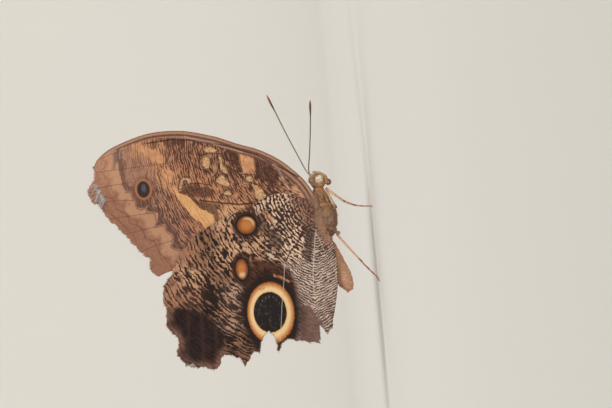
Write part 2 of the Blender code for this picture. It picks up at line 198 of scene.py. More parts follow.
HINDWING_CREAM = (
    ((-0.3, 34.4), (-1.1, 32.8), (-2.9, 31.0), (-3.3, 31.4), (-1.9, 33.6)),
    ((10.9, 31.6), (9.6, 30.7), (7.9, 30.4), (7.7, 31.0), (9.6, 31.5)),
)
HINDWING_DARK = (
    ((6.7, 32.5), (7.2, 30.5), (2.2, 28.5), (0.3, 29.3), (-0.1, 31.3), (2.6, 32.6), (4.9, 33.6)),
    ((12.5, 35.8), (11.7, 34.6), (7.3, 31.8), (5.8, 32.9), (4.4, 34.7), (7.6, 35.0)),
    ((5.9, 20.7), (5.4, 18.9), (1.3, 19.3), (-1.9, 19.9), (-5.0, 20.8), (-4.2, 22.4), (0.0, 22.3)),
)
HINDWING_TAN = (
    ((12.4, 35.0), (12.3, 32.6), (10.6, 31.6), (8.0, 31.0), (8.2, 32.0), (10.2, 33.2)),
    ((-10.8, 37.2), (-11.2, 35.9), (-11.9, 35.8), (-12.2, 37.0), (-11.4, 37.8)),
    ((-7.3, 32.6), (-8.4, 30.2), (-10.0, 27.5), (-10.7, 27.7), (-9.2, 30.4), (-8.0, 32.8)),
)
HINDWING_DARK_LINES = (
    (0.20, ((12.7, 34.5), (11.9, 29.4), (11.0, 23.7))),
    (0.26, ((6.7, 19.0), (6.0, 21.7), (1.7, 24.0), (-1.2, 26.9), (-3.6, 28.1))),
    (0.22, ((14.0, 39.0), (12.8, 42.6), (10.6, 45.2), (6.0, 46.4))),
)
HINDWING_FINE_LINES = (
    (0.16, ((-15.0, 60.0), (-24.0, 61.0), (-30.0, 61.5))),
    (0.16, ((-17.0, 56.0), (-26.0, 56.6), (-33.0, 57.0))),
    (0.16, ((-20.0, 52.0), (-27.0, 52.4), (-33.0, 53.4))),
    (0.14, ((-2.0, 58.0), (-6.0, 62.0), (-9.0, 66.0))),
    (0.14, ((-22.0, 64.0), (-27.0, 63.6), (-31.0, 62.8))),
)
HINDWING_PALE_LINES = (
    (0.15, ((4.4, 18.3), (-1.9, 19.3), (-8.4, 20.3), (-15.0, 20.6))),
    (0.11, ((4.4, 18.2), (1.6, 17.2), (-1.6, 16.2))),
    (0.10, ((-4.0, 28.8), (-9.6, 29.5), (-16.0, 30.7), (-25.0, 32.0), (-28.5, 32.6))),
)
HINDWING_MAUVE_STREAK = ((-11.0, 25.9), (-18.0, 25.9), (-27.5, 26.3))
HINDWING_VEINS = (
    ((10.0, 18.0), (14.0, 30.0), (11.0, 44.0), (4.0, 58.0)),
    ((8.0, 18.0), (8.0, 26.0), (5.0, 42.0), (-4.0, 64.0)),
    ((12.7, 34.5), (11.9, 29.4), (11.0, 20.0)),
    ((6.9, 32.0), (-1.0, 48.0), (-14.0, 66.0)),
    ((6.0, 27.0), (-8.0, 46.0), (-24.0, 63.5)),
    ((6.7, 19.0), (1.7, 24.0), (-6.0, 36.0), (-16.0, 47.0), (-33.0, 57.0)),
    ((6.0, 21.0), (-1.2, 26.9), (-9.6, 29.5), (-16.0, 30.7), (-28.0, 32.6)),
    ((-2.0, 45.5), (-14.0, 46.0), (-31.0, 48.0)),
    ((4.4, 18.3), (-8.4, 20.3), (-18.0, 24.0), (-28.0, 27.0)),
    ((4.0, 16.0), (-8.0, 16.2), (-25.0, 18.0)),
)
# Eyespots of the hindwing: centre and semi-axes. Zones are outlines
BIG_SPOT = ((8.6, 39.5), (2.85, 3.0))
MIDDLE_SPOT = ((-5.0, 42.3), (3.3, 1.95))
RING_INNER = ((-19.2, 34.8), (6.3, 5.1))
RING_OUTER = ((-19.4, 34.6), (9.5, 7.25))
RING_ZONE = (
    (-1.1, 39.2), (-2.6, 35.5), (-4.2, 30.7), (-6.0, 28.2), (-8.8, 26.6), (-13.5, 25.5),
    (-18.8, 25.7), (-25.6, 26.4), (-31.0, 28.5), (-31.0, 40.5), (-22.4, 43.2), (-18.5, 43.6),
    (-13.9, 43.9), (-11.0, 42.4), (-8.3, 43.3), (-6.7, 40.1),
)
CORNER_ZONE = (
    (-14.8, 62.6), (-15.4, 59.6), (-16.1, 56.3), (-19.2, 52.7), (-21.2, 51.4), (-23.2, 50.1),
    (-25.6, 48.8), (-29.3, 49.9), (-33.0, 49.0), (-40.0, 52.8), (-38.0, 66.0), (-20.0, 72.0),
    (-16.4, 69.0),
)
PANEL_ZONE = (
    (-18.0, 25.4), (-18.0, 22.2), (-20.8, 20.9), (-22.4, 19.6), (-24.8, 18.6), (-34.0, 18.6),
    (-33.0, 26.6), (-27.8, 26.6),
)

# Tones of the wings: light and dark colour of the ripples, as screen values.
TONES = {
    "subapex": ((206, 150, 110), (126, 84, 66)),
    "mauve": ((168, 125, 103), (138, 98, 83)),
    "inner_strip": ((166, 121, 98), (92, 64, 57)),
    "tan_field": ((182, 128, 98), (92, 60, 52)),
    "cell": ((186, 130, 96), (88, 56, 46)),
    "cream_field": ((216, 166, 124), (112, 74, 56)),
    "base": ((180, 130, 100), (80, 52, 42)),
    "fore_root": ((204, 156, 120), (122, 80, 60)),
    "hind_root": ((148, 108, 88), (80, 54, 46)),
    "zebra": ((226, 192, 164), (62, 38, 32)),
    "anal": ((200, 178, 162), (86, 64, 56)),
    "speckle": ((206, 160, 126), (46, 30, 24)),
    "dim": ((150, 108, 82), (32, 21, 18)),
    "outer": ((170, 122, 96), (74, 48, 40)),
    "blotch": ((128, 92, 74), (46, 30, 26)),
    "halo": ((100, 60, 44), (54, 30, 23)),
    "rosy": ((188, 150, 128), (66, 46, 40)),
    "corner": ((46, 28, 24), (24, 15, 14)),
    "rim": ((138, 100, 84), (104, 74, 64)),
    "panel": ((122, 94, 84), (110, 82, 73)),
    "streak": ((164, 126, 114), (120, 86, 78)),
}
DORSAL_FOREWING = (140, 98, 72)
DORSAL_HINDWING = (92, 90, 112)
DORSAL_EDGE = (92, 66, 56)
MARGIN_INNER = (158, 112, 89)       # marginal band towards the inner angle, and at the wing tip
MARGIN_APEX = (182, 134, 106)
# Where each tone is at home: x, z, reach, tone, balance (high is lighter), fineness of ripples
FOREWING_TONES = (
    (36.0, 70.0, 3.6, "subapex", 0.05, 0.7), (32.0, 65.0, 3.6, "subapex", 0.0, 0.7),
    (26.5, 62.5, 3.4, "subapex", 0.05, 0.7), (35.0, 59.0, 4.0, "tan_field", -0.25, 0.7),
    (31.0, 57.0, 4.5, "cell", -0.15, 0.7), (33.0, 75.0, 4.2, "mauve", 0.3, 0.7),
    (27.0, 73.0, 4.6, "mauve", 0.25, 0.7), (30.0, 70.0, 3.0, "mauve", 0.1, 0.7),
    (20.0, 67.0, 3.6, "inner_strip", -0.05, 0.7),
    (12.0, 62.5, 3.4, "inner_strip", -0.05, 0.7), (6.0, 60.5, 3.4, "inner_strip", 0.0, 0.7),
    (17.5, 62.0, 2.6, "tan_field", 0.0, 0.7), (8.0, 56.0, 4.0, "tan_field", 0.05, 0.7),
    (3.0, 54.0, 4.0, "tan_field", 0.0, 0.7), (27.0, 54.0, 4.0, "cell", 0.0, 0.7),
    (24.0, 50.5, 3.0, "cell", 0.1, 0.7), (28.5, 48.0, 2.6, "base", 0.0, 0.7),
    (19.0, 43.0, 4.0, "cell", 0.0, 0.7), (12.0, 44.0, 4.0, "cream_field", 0.3, 0.7),
    (26.0, 41.5, 3.0, "base", -0.3, 0.7), (19.0, 37.0, 3.5, "cell", 0.0, 0.7),
    (31.0, 41.0, 2.4, "base", -0.4, 0.7), (24.0, 31.0, 4.5, "base", -0.35, 0.7),
    (20.0, 25.0, 3.0, "base", -0.1, 0.6), (16.5, 21.0, 3.8, "fore_root", 0.3, 0.3),
)
HINDWING_TONES = (
    (9.5, 19.5, 3.0, "hind_root", -0.1, 0.5), (13.0, 22.0, 2.6, "hind_root", 0.0, 0.3),
    (9.5, 26.5, 3.2, "zebra", -0.35, 0.15), (14.5, 30.5, 3.0, "zebra", -0.1, 0.2),
    (4.0, 26.0, 3.0, "zebra", -0.15, 0.2), (0.0, 26.5, 3.0, "zebra", 0.05, 0.3),
    (-8.0, 23.0, 3.6, "anal", -0.1, 0.95), (0.0, 16.0, 4.0, "anal", -0.3, 1.0),
    (-8.0, 16.5, 4.5, "anal", 0.0, 1.0), (-16.0, 18.0, 4.5, "anal", 0.0, 1.0),
    (-24.0, 17.0, 3.5, "anal", -0.25, 1.0), (-15.0, 23.0, 3.0, "anal", 0.0, 1.0),
    (1.5, 38.0, 3.6, "speckle", -0.05, 0.4), (-2.0, 33.0, 2.8, "rosy", -0.2, 0.5),
    (9.0, 45.5, 3.0, "speckle", 0.2, 0.4), (3.0, 44.5, 3.6, "speckle", -0.05, 0.4),
    (-1.0, 47.5, 3.4, "speckle", -0.2, 0.4), (4.5, 51.5, 3.0, "dim", -0.05, 0.4),
    (-6.0, 49.5, 3.4, "dim", 0.05, 0.4), (-1.0, 53.5, 3.0, "dim", 0.05, 0.4),
    (-13.0, 52.5, 3.4, "dim", -0.65, 0.4), (1.0, 58.0, 3.0, "outer", 0.2, 0.4),
    (-6.5, 58.5, 3.6, "speckle", -0.1, 0.4), (-11.5, 59.0, 3.4, "outer", -0.1, 0.4),
    (-9.0, 65.0, 3.4, "outer", 0.0, 0.5), (-14.0, 66.5, 2.8, "outer", 0.2, 0.5),
    (-13.0, 47.5, 3.0, "rosy", -0.05, 0.5), (-20.0, 46.8, 3.0, "rosy", -0.15, 0.5),
    (-27.0, 46.0, 3.2, "dim", -0.25, 0.5), (-32.0, 45.0, 3.4, "blotch", 0.0, 0.5),
    (-18.0, 50.0, 2.4, "dim", -0.1, 0.5), (12.5, 40.0, 2.0, "base", -0.3, 0.4),
)
FOREWING_RIPPLE_CENTRE = (35.4, 9.1)
HINDWING_RIPPLE_CENTRE = (17.4, 17.1)
# Band along the leading edge: heights and widths; stripes: place, half width, colour, strength
COSTAL_WIDTH = ((18.0, 34.0, 48.0, 62.0, 74.0, 82.0), (3.0, 2.9, 2.7, 2.1, 1.5, 0.6))
COSTAL_STRIPES = (
    (0.62, 0.34, (186, 142, 114), 0.8), (1.35, 0.26, (98, 62, 48), 0.75),
    (1.95, 0.34, (168, 134, 116), 0.7), (2.75, 0.3, (96, 62, 52), 0.7),
)
RIPPLE_PERIODS = (1.22, 0.88)       # of the coarse and the fine ripples
FOREWING_RIPPLE_RATE = 1.22         # how much closer the ripples lie on the forewing
RIPPLE_FAN = 25.0                   # length of the strokes: mm to a radian about the ripple centre
RIPPLE_DRIFT = 1.0                  # slow wander of the ripples
RIPPLE_SHIVER = 0.42                # quick one
RIPPLE_SOFTNESS = 0.42              # half the step from dark to light
RIPPLE_FOLD = ((8.0, 17.6), (-30.0, 22.0))    # line about which the hindwing's ripples bend to a V
FOLD_SLOPE = 0.42                   # how strongly they bend
FOLD_REACH = 11.0                   # how far from the line they bend

# Colours of the markings as screen values; a pair is the two ends of a blend
DEEP_BROWN = ((64, 40, 33), (110, 68, 50))
TAN_PATCH = ((214, 156, 102), (228, 176, 120))
CREAM_PATCH = ((188, 142, 100), (222, 184, 138))
CREAM_RIM = (84, 54, 44)
COSTAL_GROUND = ((120, 80, 64), (152, 108, 86))
MARGIN_SCALLOP = (210, 162, 126)
MARGIN_BORDER_LINE = (96, 64, 58)
# Lines across the margin: place, half width, colour, strength
MARGIN_LINES = ((4.4, 0.26, (122, 80, 66), 0.4), (7.6, 0.6, (128, 88, 76), 0.3))
FOREWING_LINE_COLOURS = {"fine": (92, 60, 52), "dark": (56, 32, 28), "pale": (200, 166, 146)}
WING_TIP_GREY = (104, 82, 82)
# Small eyespot from the outside in: full and gone places on the ring scale, strength, colour
SMALL_EYE_RINGS = (
    (1.0, 2.0, 0.6, (112, 72, 58)), (0.75, 1.2, 0.8, (190, 126, 74)),
    (0.3, 0.75, 1.0, (120, 78, 58)), (0.0, 0.35, 1.0, (54, 43, 44)),
)
SMALL_EYE_GLINT = ((23.2, 70.3), (1.3, 0.75))
SMALL_EYE_GLINT_COLOUR = (98, 96, 106)
HINDWING_DEEP = (66, 44, 36)
HINDWING_CREAM_COLOUR = (222, 194, 160)
HINDWING_WARM = ((150, 92, 60), (204, 148, 104))
HINDWING_EDGE = (132, 100, 84)
HINDWING_LINE_COLOURS = {
    "halo": (120, 84, 72), "fine": (48, 30, 27), "dark": (50, 30, 26), "pale": (214, 196, 178),
}
SPOT_SHADOW = (58, 36, 28)
SPOT_BLACK = (28, 20, 18)
SPOT_ORANGE = ((194, 122, 64), (122, 68, 34))
SPOT_GLINT = (242, 206, 156)
RING_BLACK = (30, 22, 20)
RING_PALE = (240, 204, 150)
RING_ORANGE = (188, 110, 54)
RING_INNER_EDGE = (204, 142, 82)
RING_CENTRE = ((32, 26, 26), (78, 68, 66))
RING_GLINT = (140, 130, 126)
FRINGE_CENTRES = {"forewing": (6.0, 42.0), "hindwing": (0.0, 34.0)}    # it points away from here
FRINGE_COLOURS = ((126, 88, 70), (210, 180, 146))
THREAD_COLOUR = (228, 218, 214)

# Torn places: first and last root, threads, longest thread
FRAYS = (((26.0, 85.2), (20.4, 82.6), 90, 3.6), ((-33.0, 61.2), (-33.4, 59.2), 24, 1.0))

# Head, skin and coat
HEAD_CENTRE = (20.0, 16.0)
HEAD_SEMI_AXES = (2.15, 2.08, 2.12)
EYE_CENTRE = (20.6, 1.75, 15.5)
EYE_RADIUS = 1.35
EYE_SIDES = 56
EYE_RINGS = 36
# Skin sections behind the head: x, height of the middle, half width, half height, lean
SKIN_SECTIONS = (
    (-14.9, 10.1, 0.1, 0.2, 0.25), (-14.4, 10.2, 0.85, 1.2, 0.25), (-13.4, 10.45, 1.85, 2.2, 0.25),
    (-11.6, 10.9, 2.55, 2.8, 0.2), (-8.6, 11.8, 2.95, 3.15, 0.15), (-5.4, 13.2, 3.0, 3.15, 0.1),
    (-2.4, 14.4, 2.75, 3.05, 0.05), (0.1, 15.0, 2.15, 2.5, 0.0), (1.6, 15.25, 1.5, 1.75, 0.0),
    (2.6, 15.35, 1.6, 1.8, 0.0), (4.4, 15.6, 2.95, 3.35, 0.0), (7.0, 15.7, 3.75, 4.25, 0.0),
    (10.0, 15.8, 3.85, 4.45, 0.0), (13.0, 15.8, 3.45, 3.85, 0.0), (15.4, 15.9, 2.55, 2.75, 0.0),
    (16.6, 16.0, 1.75, 1.85, 0.0), (17.6, 16.0, 1.35, 1.45, 0.0), (18.6, 16.0, 1.2, 1.3, 0.0),
    (22.2, 16.0, 0.02, 0.02, 0.0),
)
SKIN_RINGS = 190
SKIN_SIDES = 72
SKIN_SAMPLES = 1500          # along x, before the rings are spaced
SKIN_SMOOTHING = 45          # samples, an odd number
# Pinches between the rings of the body: depth as a share, half width, x of each
PINCHES = (
    (0.045, 0.3, (-0.9, -2.9, -5.0, -7.1, -9.2, -11.2, -13.0)), (0.06, 0.5, (6.3, 13.6)),
)
HEAD_START = 17.4
ABDOMEN_END = 2.1

# Feelers, mouthparts and legs: x, sideways distance, z and radius along each
ANTENNA_RIGHT = (
    (21.7, 0.9, 17.9, 0.26), (23.6, 1.6, 19.3, 0.19), (28.0, 2.6, 21.2, 0.18),
    (36.0, 4.2, 24.5, 0.18), (42.5, 5.2, 27.0, 0.2), (45.2, 5.6, 28.1, 0.33), (47.1, 5.85, 28.8, 0.33),
    (48.2, 6.0, 29.25, 0.12),
)
ANTENNA_LEFT = (
    (21.7, 0.9, 17.9, 0.26), (23.8, 1.6, 18.5, 0.19), (29.0, 2.6, 17.7, 0.18),
    (35.0, 4.0, 16.9, 0.18), (40.4, 5.4, 16.3, 0.2), (43.0, 5.9, 16.1, 0.33), (44.7, 6.15, 15.97, 0.33),
    (45.7, 6.3, 15.9, 0.12),
)
ANTENNA_JOINTS = 44
ANTENNA_SPACING = 0.09       # distance between the rings of the mesh
PALP = (
    (19.3, 1.1, 13.35, 0.4), (21.0, 1.15, 13.6, 0.5), (22.1, 1.0, 14.8, 0.48), (22.6, 0.8, 16.0, 0.34),
    (22.95, 0.72, 16.8, 0.14),
)
# Coil: x and z of its middle, inner and outer radius, turns, angle of its outer end
PROBOSCIS_CENTRE = (19.45, 12.85)
PROBOSCIS_RADII = (0.2, 0.95)
PROBOSCIS_TURNS = 2.2
PROBOSCIS_START = 100.0
# Foreleg: x, sideways distance, z and radius of each joint
FORELEG = ((13.4, 3.5, 13.4, 0.3), (17.0, 3.0, 14.6, 0.26), (14.6, 3.8, 15.0, 0.14))
# Walking legs: x, sideways distance, z, radius of coxa, thigh, shin and foot joints
MIDLEG = (
    (10.1, 1.9, 12.9, 0.5), (11.4, 3.1, 11.4, 0.42), (17.6, 6.5, 13.6, 0.36), (12.9, 7.9, 8.2, 0.33),
    (11.4, 8.6, 5.0, 0.28), (11.0, 8.95, 3.0, 0.26), (10.8, 9.2, 1.2, 0.24), (10.7, 9.6, 0.23, 0.21),
    (10.62, 10.75, 0.18, 0.17),
)
HINDLEG = (
    (4.6, 1.4, 13.4, 0.5), (3.4, 3.0, 11.1, 0.42), (2.8, 7.2, 11.6, 0.36), (-6.1, 9.2, 4.9, 0.33),
    (-8.6, 9.7, 2.9, 0.28), (-10.2, 9.95, 1.6, 0.26), (-11.4, 10.2, 0.47, 0.24), (-11.9, 10.5, 0.22, 0.21),
    (-12.5, 11.35, 0.18, 0.17),
)

# Colours along feelers, mouthparts and legs: share of the length, screen values
ANTENNA_TINTS = (
    ((0.0, (214, 198, 170)), (0.06, (172, 160, 126)), (0.14, (138, 128, 98)), (0.8, (120, 108, 82)),
     (0.87, (92, 66, 50)), (0.95, (158, 94, 60)), (1.0, (206, 170, 130))),
    ((0.0, (170, 156, 122)), (0.1, (104, 98, 74)), (0.82, (92, 84, 62)), (0.9, (84, 56, 42)),
     (0.97, (150, 86, 56)), (1.0, (190, 140, 100))),
)
PROBOSCIS_TINTS = ((0.0, (176, 140, 124)), (0.5, (150, 114, 104)), (1.0, (116, 84, 76)))
PALP_TINTS = ((0.0, (206, 158, 112)), (0.4, (214, 176, 132)), (0.75, (200, 162, 122)), (1.0, (226, 200, 160)))
HIP_TINTS = ((0.0, (138, 104, 82)), (1.0, (150, 114, 90)))
SHIN_TINTS = ((0.0, (160, 112, 82)), (0.2, (222, 180, 146)), (0.85, (206, 156, 122)), (1.0, (120, 74, 56)))
FOOT_TINTS = ((0.0, (204, 150, 122)), (0.6, (184, 126, 100)), (1.0, (122, 76, 60)))
FORELEG_TINTS = ((0.0, (176, 140, 108)), (0.6, (196, 154, 116)), (1.0, (150, 108, 80)))
THIGH_COLOURS = {"midleg": (216, 190, 156), "hindleg": (166, 128, 102)}
SPINE_COLOUR = (92, 56, 44)
CLAW_COLOUR = (60, 34, 28)
SPUR_COLOUR = (110, 66, 48)
# Tufts on palp, foreleg segment, and hip, thigh and shin: count, length, width, lift
PALP_TUFTS = (1900, 0.8, 0.07, 0.55)
FORELEG_TUFTS = (420, 0.75, 0.045, 0.5)
LEG_TUFTS = ((600, 0.6, 0.08, 0.35), (700, 0.42, 0.04, 0.3), (420, 0.3, 0.032, 0.3))
# Spines: count, and rows from one to the next
SHIN_SPINES = (9, 16 / 9)
FOOT_SPINES = (5, 3)

# Body colours as screen values: x, share of the height (0 belly, 1 back), reach, colour
BODY_COLOURS = (
    (22.6, 0.9, 0.7, (240, 204, 157)), (22.4, 0.5, 0.9, (226, 182, 144)), (21.2, 0.9, 1.0, (228, 182, 144)),
    (19.4, 0.95, 1.4, (222, 176, 138)), (20.4, 0.1, 1.6, (227, 166, 113)), (18.4, 0.35, 1.2, (223, 146, 87)),
    (18.0, 0.75, 1.2, (218, 166, 128)), (16.4, 0.9, 1.8, (182, 139, 109)), (16.0, 0.3, 2.0, (197, 154, 119)),
    (12.5, 0.9, 3.0, (161, 116, 89)), (12.0, 0.45, 2.6, (187, 148, 117)), (8.5, 0.3, 2.6, (202, 158, 124)),
    (8.0, 0.85, 3.0, (176, 132, 104)), (5.0, 0.4, 2.4, (195, 148, 115)), (10.5, 0.1, 2.4, (218, 173, 132)),
    (2.0, 0.6, 2.0, (200, 150, 118)), (-2.0, 0.85, 3.0, (224, 168, 140)), (-3.0, 0.3, 3.0, (240, 189, 154)),
    (-8.0, 0.85, 3.4, (238, 184, 154)), (-8.0, 0.3, 3.4, (240, 193, 157)),
    (-12.5, 0.6, 2.4, (238, 182, 146)), (-14.8, 0.5, 1.2, (232, 158, 108)),
)
# Coats: piece, slot, first and last x, tufts, shortest and longest lock, width, lift
COATS = (
    ("coat_head", "head", HEAD_START, 23.0, 8000, 0.45, 0.95, 0.07, 0.8),
    ("coat_breast", "thorax", 9.6, HEAD_START, 11000, 0.9, 1.9, 0.09, 0.5),
    ("coat_thorax", "thorax", ABDOMEN_END, 9.6, 10000, 1.0, 2.1, 0.09, 0.45),
    ("coat_abdomen", "abdomen", -16.0, ABDOMEN_END, 12500, 0.6, 1.2, 0.09, 0.25),
)
TUFT_PATCH = 0.003           # size of each tuft in the bake map
# Mottling of the coat: place on the noise where it starts and is full, colour
COAT_PATCHES = ((0.0, 0.35, (142, 116, 106)), (0.05, -0.3, (214, 158, 106)))
GREY_LOCK = (152, 136, 122)
# Hair over the wing roots, on each side: x, then height or sideways place
ROOT_HAIRS = 900
ROOT_HAIR_HEIGHT = ((1.5, 5.0, 9.0, 12.0, 17.0), (13.6, 15.2, 15.9, 16.6, 17.4))
ROOT_HAIR_SIDE = ((1.5, 5.0, 10.0, 14.0, 17.0), (4.1, 4.1, 4.15, 3.9, 2.9))

# Stage, in metres
FLOOR_RADIUS = 1.1
SWEEP_RADIUS = 0.5
BACKDROP_TOP = 0.9

# Camera: place and axes for the photograph's framing, width seen at the insect, film width in mm
CAMERA_PLACE = (0.00681, -0.9, 0.02036)
CAMERA_RIGHT = (-0.0981, 0.0, -0.9952)
CAMERA_UP = (0.9952, 0.0, -0.0981)
CAMERA_BACK = (0.0, -1.0, 0.0)
FRAME_WIDTH = 0.19125
SENSOR = 36.0

# Lights: name, place and size in metres, power, colour
LIGHT_TARGET = (0.0, 0.0, 0.04)
LIGHTS = (
    ("key", (1.6, -2.4, 2.1), 2.2, 86.0, (1.0, 0.97, 0.93)),
    ("fill", (-2.2, -1.9, 1.5), 2.6, 31.0, (0.95, 0.97, 1.0)),
    ("back", (-0.6, 2.2, 2.2), 2.0, 14.0, (1.0, 1.0, 1.0)),
)
WORLD_COLOUR = (1.0, 0.99, 0.97)
WORLD_STRENGTH = 0.5


# Numbers and shapes
def smooth_step(low, high, value):
    t = np.clip((value - low) / (high - low), 0.0, 1.0)
    return t * t * (3.0 - 2.0 * t)


def linear(colour):
    """Screen values 0-255 to the renderer's linear colour."""
    share = np.asarray(colour, dtype=float) / 255.0
    return np.where(share <= 0.04045, share / 12.92, ((share + 0.055) / 1.055) ** 2.4)


def to_scene(points):
    return (np.asarray(points, dtype=float) + SHIFT) * MM


def value_noise(points, scale, seed=0.0):
    """Smooth noise of about -1 to 1 at each point."""
    return np.array([noise.noise(Vector((*point[:2], seed)) * scale) for point in points])


def polyline_distance(points, path):
    """Distance of each point from an open path."""
    best = np.full(len(points), np.inf)
    for start, end in zip(path, path[1:]):
        start = np.asarray(start)
        run = np.asarray(end) - start
        share = np.clip(((points - start) @ run) / (run @ run), 0.0, 1.0)
        best = np.minimum(best, np.linalg.norm(points - start - share[:, None] * run, axis=1))
    return best


def nearest(points, paths):
    """Distance of each point from the nearest of some open paths."""
    return np.min([polyline_distance(points, path) for path in paths], axis=0)


def signed_distance(points, outline):
    """Distance from a closed outline, positive inside it."""
    corners = np.asarray(outline)
    distance = polyline_distance(points, np.vstack((corners, corners[:1])))
    inside = np.zeros(len(points), dtype=bool)
    for (x0, z0), (x1, z1) in zip(corners, np.roll(corners, -1, axis=0)):
        crosses = (z0 > points[:, 1]) != (z1 > points[:, 1])
        if z1 != z0:
            inside ^= crosses & (points[:, 0] < (x1 - x0) * (points[:, 1] - z0) / (z1 - z0) + x0)
    return np.where(inside, distance, -distance)


def blotches(points, outlines):
    """Signed distance from a set of closed outlines together."""
    return np.max([signed_distance(points, outline) for outline in outlines], axis=0)


def lines(points, paths):
    """Distance from the nearest of some lines, in that line's own half widths."""
    return np.min([polyline_distance(points, path) / width for width, path in paths], axis=0)


def oval(points, centre, semi_axes):
    """Distance from an oval's centre, 1 on the oval."""
    return np.linalg.norm((points - np.asarray(centre)) / np.asarray(semi_axes), axis=1)


def ring_share(points, inner, outer):
    """0 on the inner oval, 1 on the outer one, and negative within."""
    within = oval(points, *inner)
    around = oval(points, *outer)
    return np.clip((within - 1.0) / np.maximum(within - around, 0.02), -3.0, 4.0)


def resample(path, spacing, fewest=1):
    """Evenly spaced rows along an open path; what follows x, y and z in a row is carried along."""
    path = np.asarray(path, dtype=float)
    steps = np.linalg.norm(np.diff(path[:, :3], axis=0), axis=1)
    along = np.concatenate(([0.0], np.cumsum(steps)))
    wanted = np.linspace(0.0, along[-1], max(int(round(along[-1] / spacing)), fewest) + 1)
    return np.column_stack([np.interp(wanted, along, column) for column in path.T])


def outline_path(outline):
    """Closed path through the outline's points, with its bends rounded."""
    curve = bpy.data.curves.new("outline", "CURVE")
    curve.dimensions = "2D"
    curve.fill_mode = "NONE"
    curve.resolution_u = 16
    spline = curve.splines.new("BEZIER")
    spline.bezier_points.add(len(outline) - 1)
    spline.use_cyclic_u = True
    for knot, (x, z, style) in zip(spline.bezier_points, outline):
        knot.co = (x, z, 0.0)
        handle = "AUTO" if style == "bend" else "VECTOR"
        knot.handle_left_type = handle
        knot.handle_right_type = handle
    made = link_object("outline", curve)
    bpy.context.view_layer.update()
    mesh = bpy.data.meshes.new_from_object(made.evaluated_get(bpy.context.evaluated_depsgraph_get()))
    path = np.array([vertex.co[:2] for vertex in mesh.vertices])
    bpy.data.objects.remove(made)
    bpy.data.curves.remove(curve)
    bpy.data.meshes.remove(mesh)
    return np.vstack((path, path[:1]))


def link_object(name, data):
    made = bpy.data.objects.new(name, data)
    bpy.context.scene.collection.objects.link(made)
    return made


class Pile:
    """Points, triangles and named per-point values that become one piece."""

    def __init__(self):
        self.points = []
        self.triangles = []
        self.values = {}
        self.count = 0

    def add(self, points, triangles, **values):
        points = np.asarray(points, dtype=float)
        self.points.append(points)
        self.triangles.append(np.asarray(triangles, dtype=np.int64) + self.count)
        for name, value in values.items():
            value = np.asarray(value, dtype=float)
            full = np.broadcast_to(value, (len(points), value.shape[-1]))
            self.values.setdefault(name, []).append(full)
        self.count += len(points)

    def build(self, name, material, corner_uv=None):
        points = np.vstack(self.points)
        triangles = np.vstack(self.triangles)
        mesh = bpy.data.meshes.new(name)
        mesh.vertices.add(len(points))
        mesh.vertices.foreach_set("co", to_scene(points).ravel())
        mesh.loops.add(triangles.size)
        mesh.loops.foreach_set("vertex_index", triangles.ravel().astype(np.int32))
        mesh.polygons.add(len(triangles))
        mesh.polygons.foreach_set("loop_start", np.arange(0, triangles.size, 3, dtype=np.int32))
        mesh.update(calc_edges=True)
        for label, parts in self.values.items():
            value = np.vstack(parts)
            if label == "uv":
                layer = mesh.uv_layers.new(name="OFBake")
                layer.data.foreach_set("uv", value[triangles.ravel()].ravel())
            elif value.shape[1] == 4:
                mesh.attributes.new(label, "FLOAT_COLOR", "POINT").data.foreach_set("color", value.ravel())
            else:
                mesh.attributes.new(label, "FLOAT_VECTOR", "POINT").data.foreach_set("vector", value.ravel())
        if corner_uv is not None:
            layer = mesh.uv_layers.new(name="OFBake")
            layer.data.foreach_set("uv", np.asarray(corner_uv, dtype=float).ravel())
        mesh.shade_smooth()
        mesh.materials.append(material)
        return link_object(name, mesh)


def finish_piece(made, slot, *nodes):
    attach(made, "root")
    if nodes:
        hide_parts(*nodes)
    return made


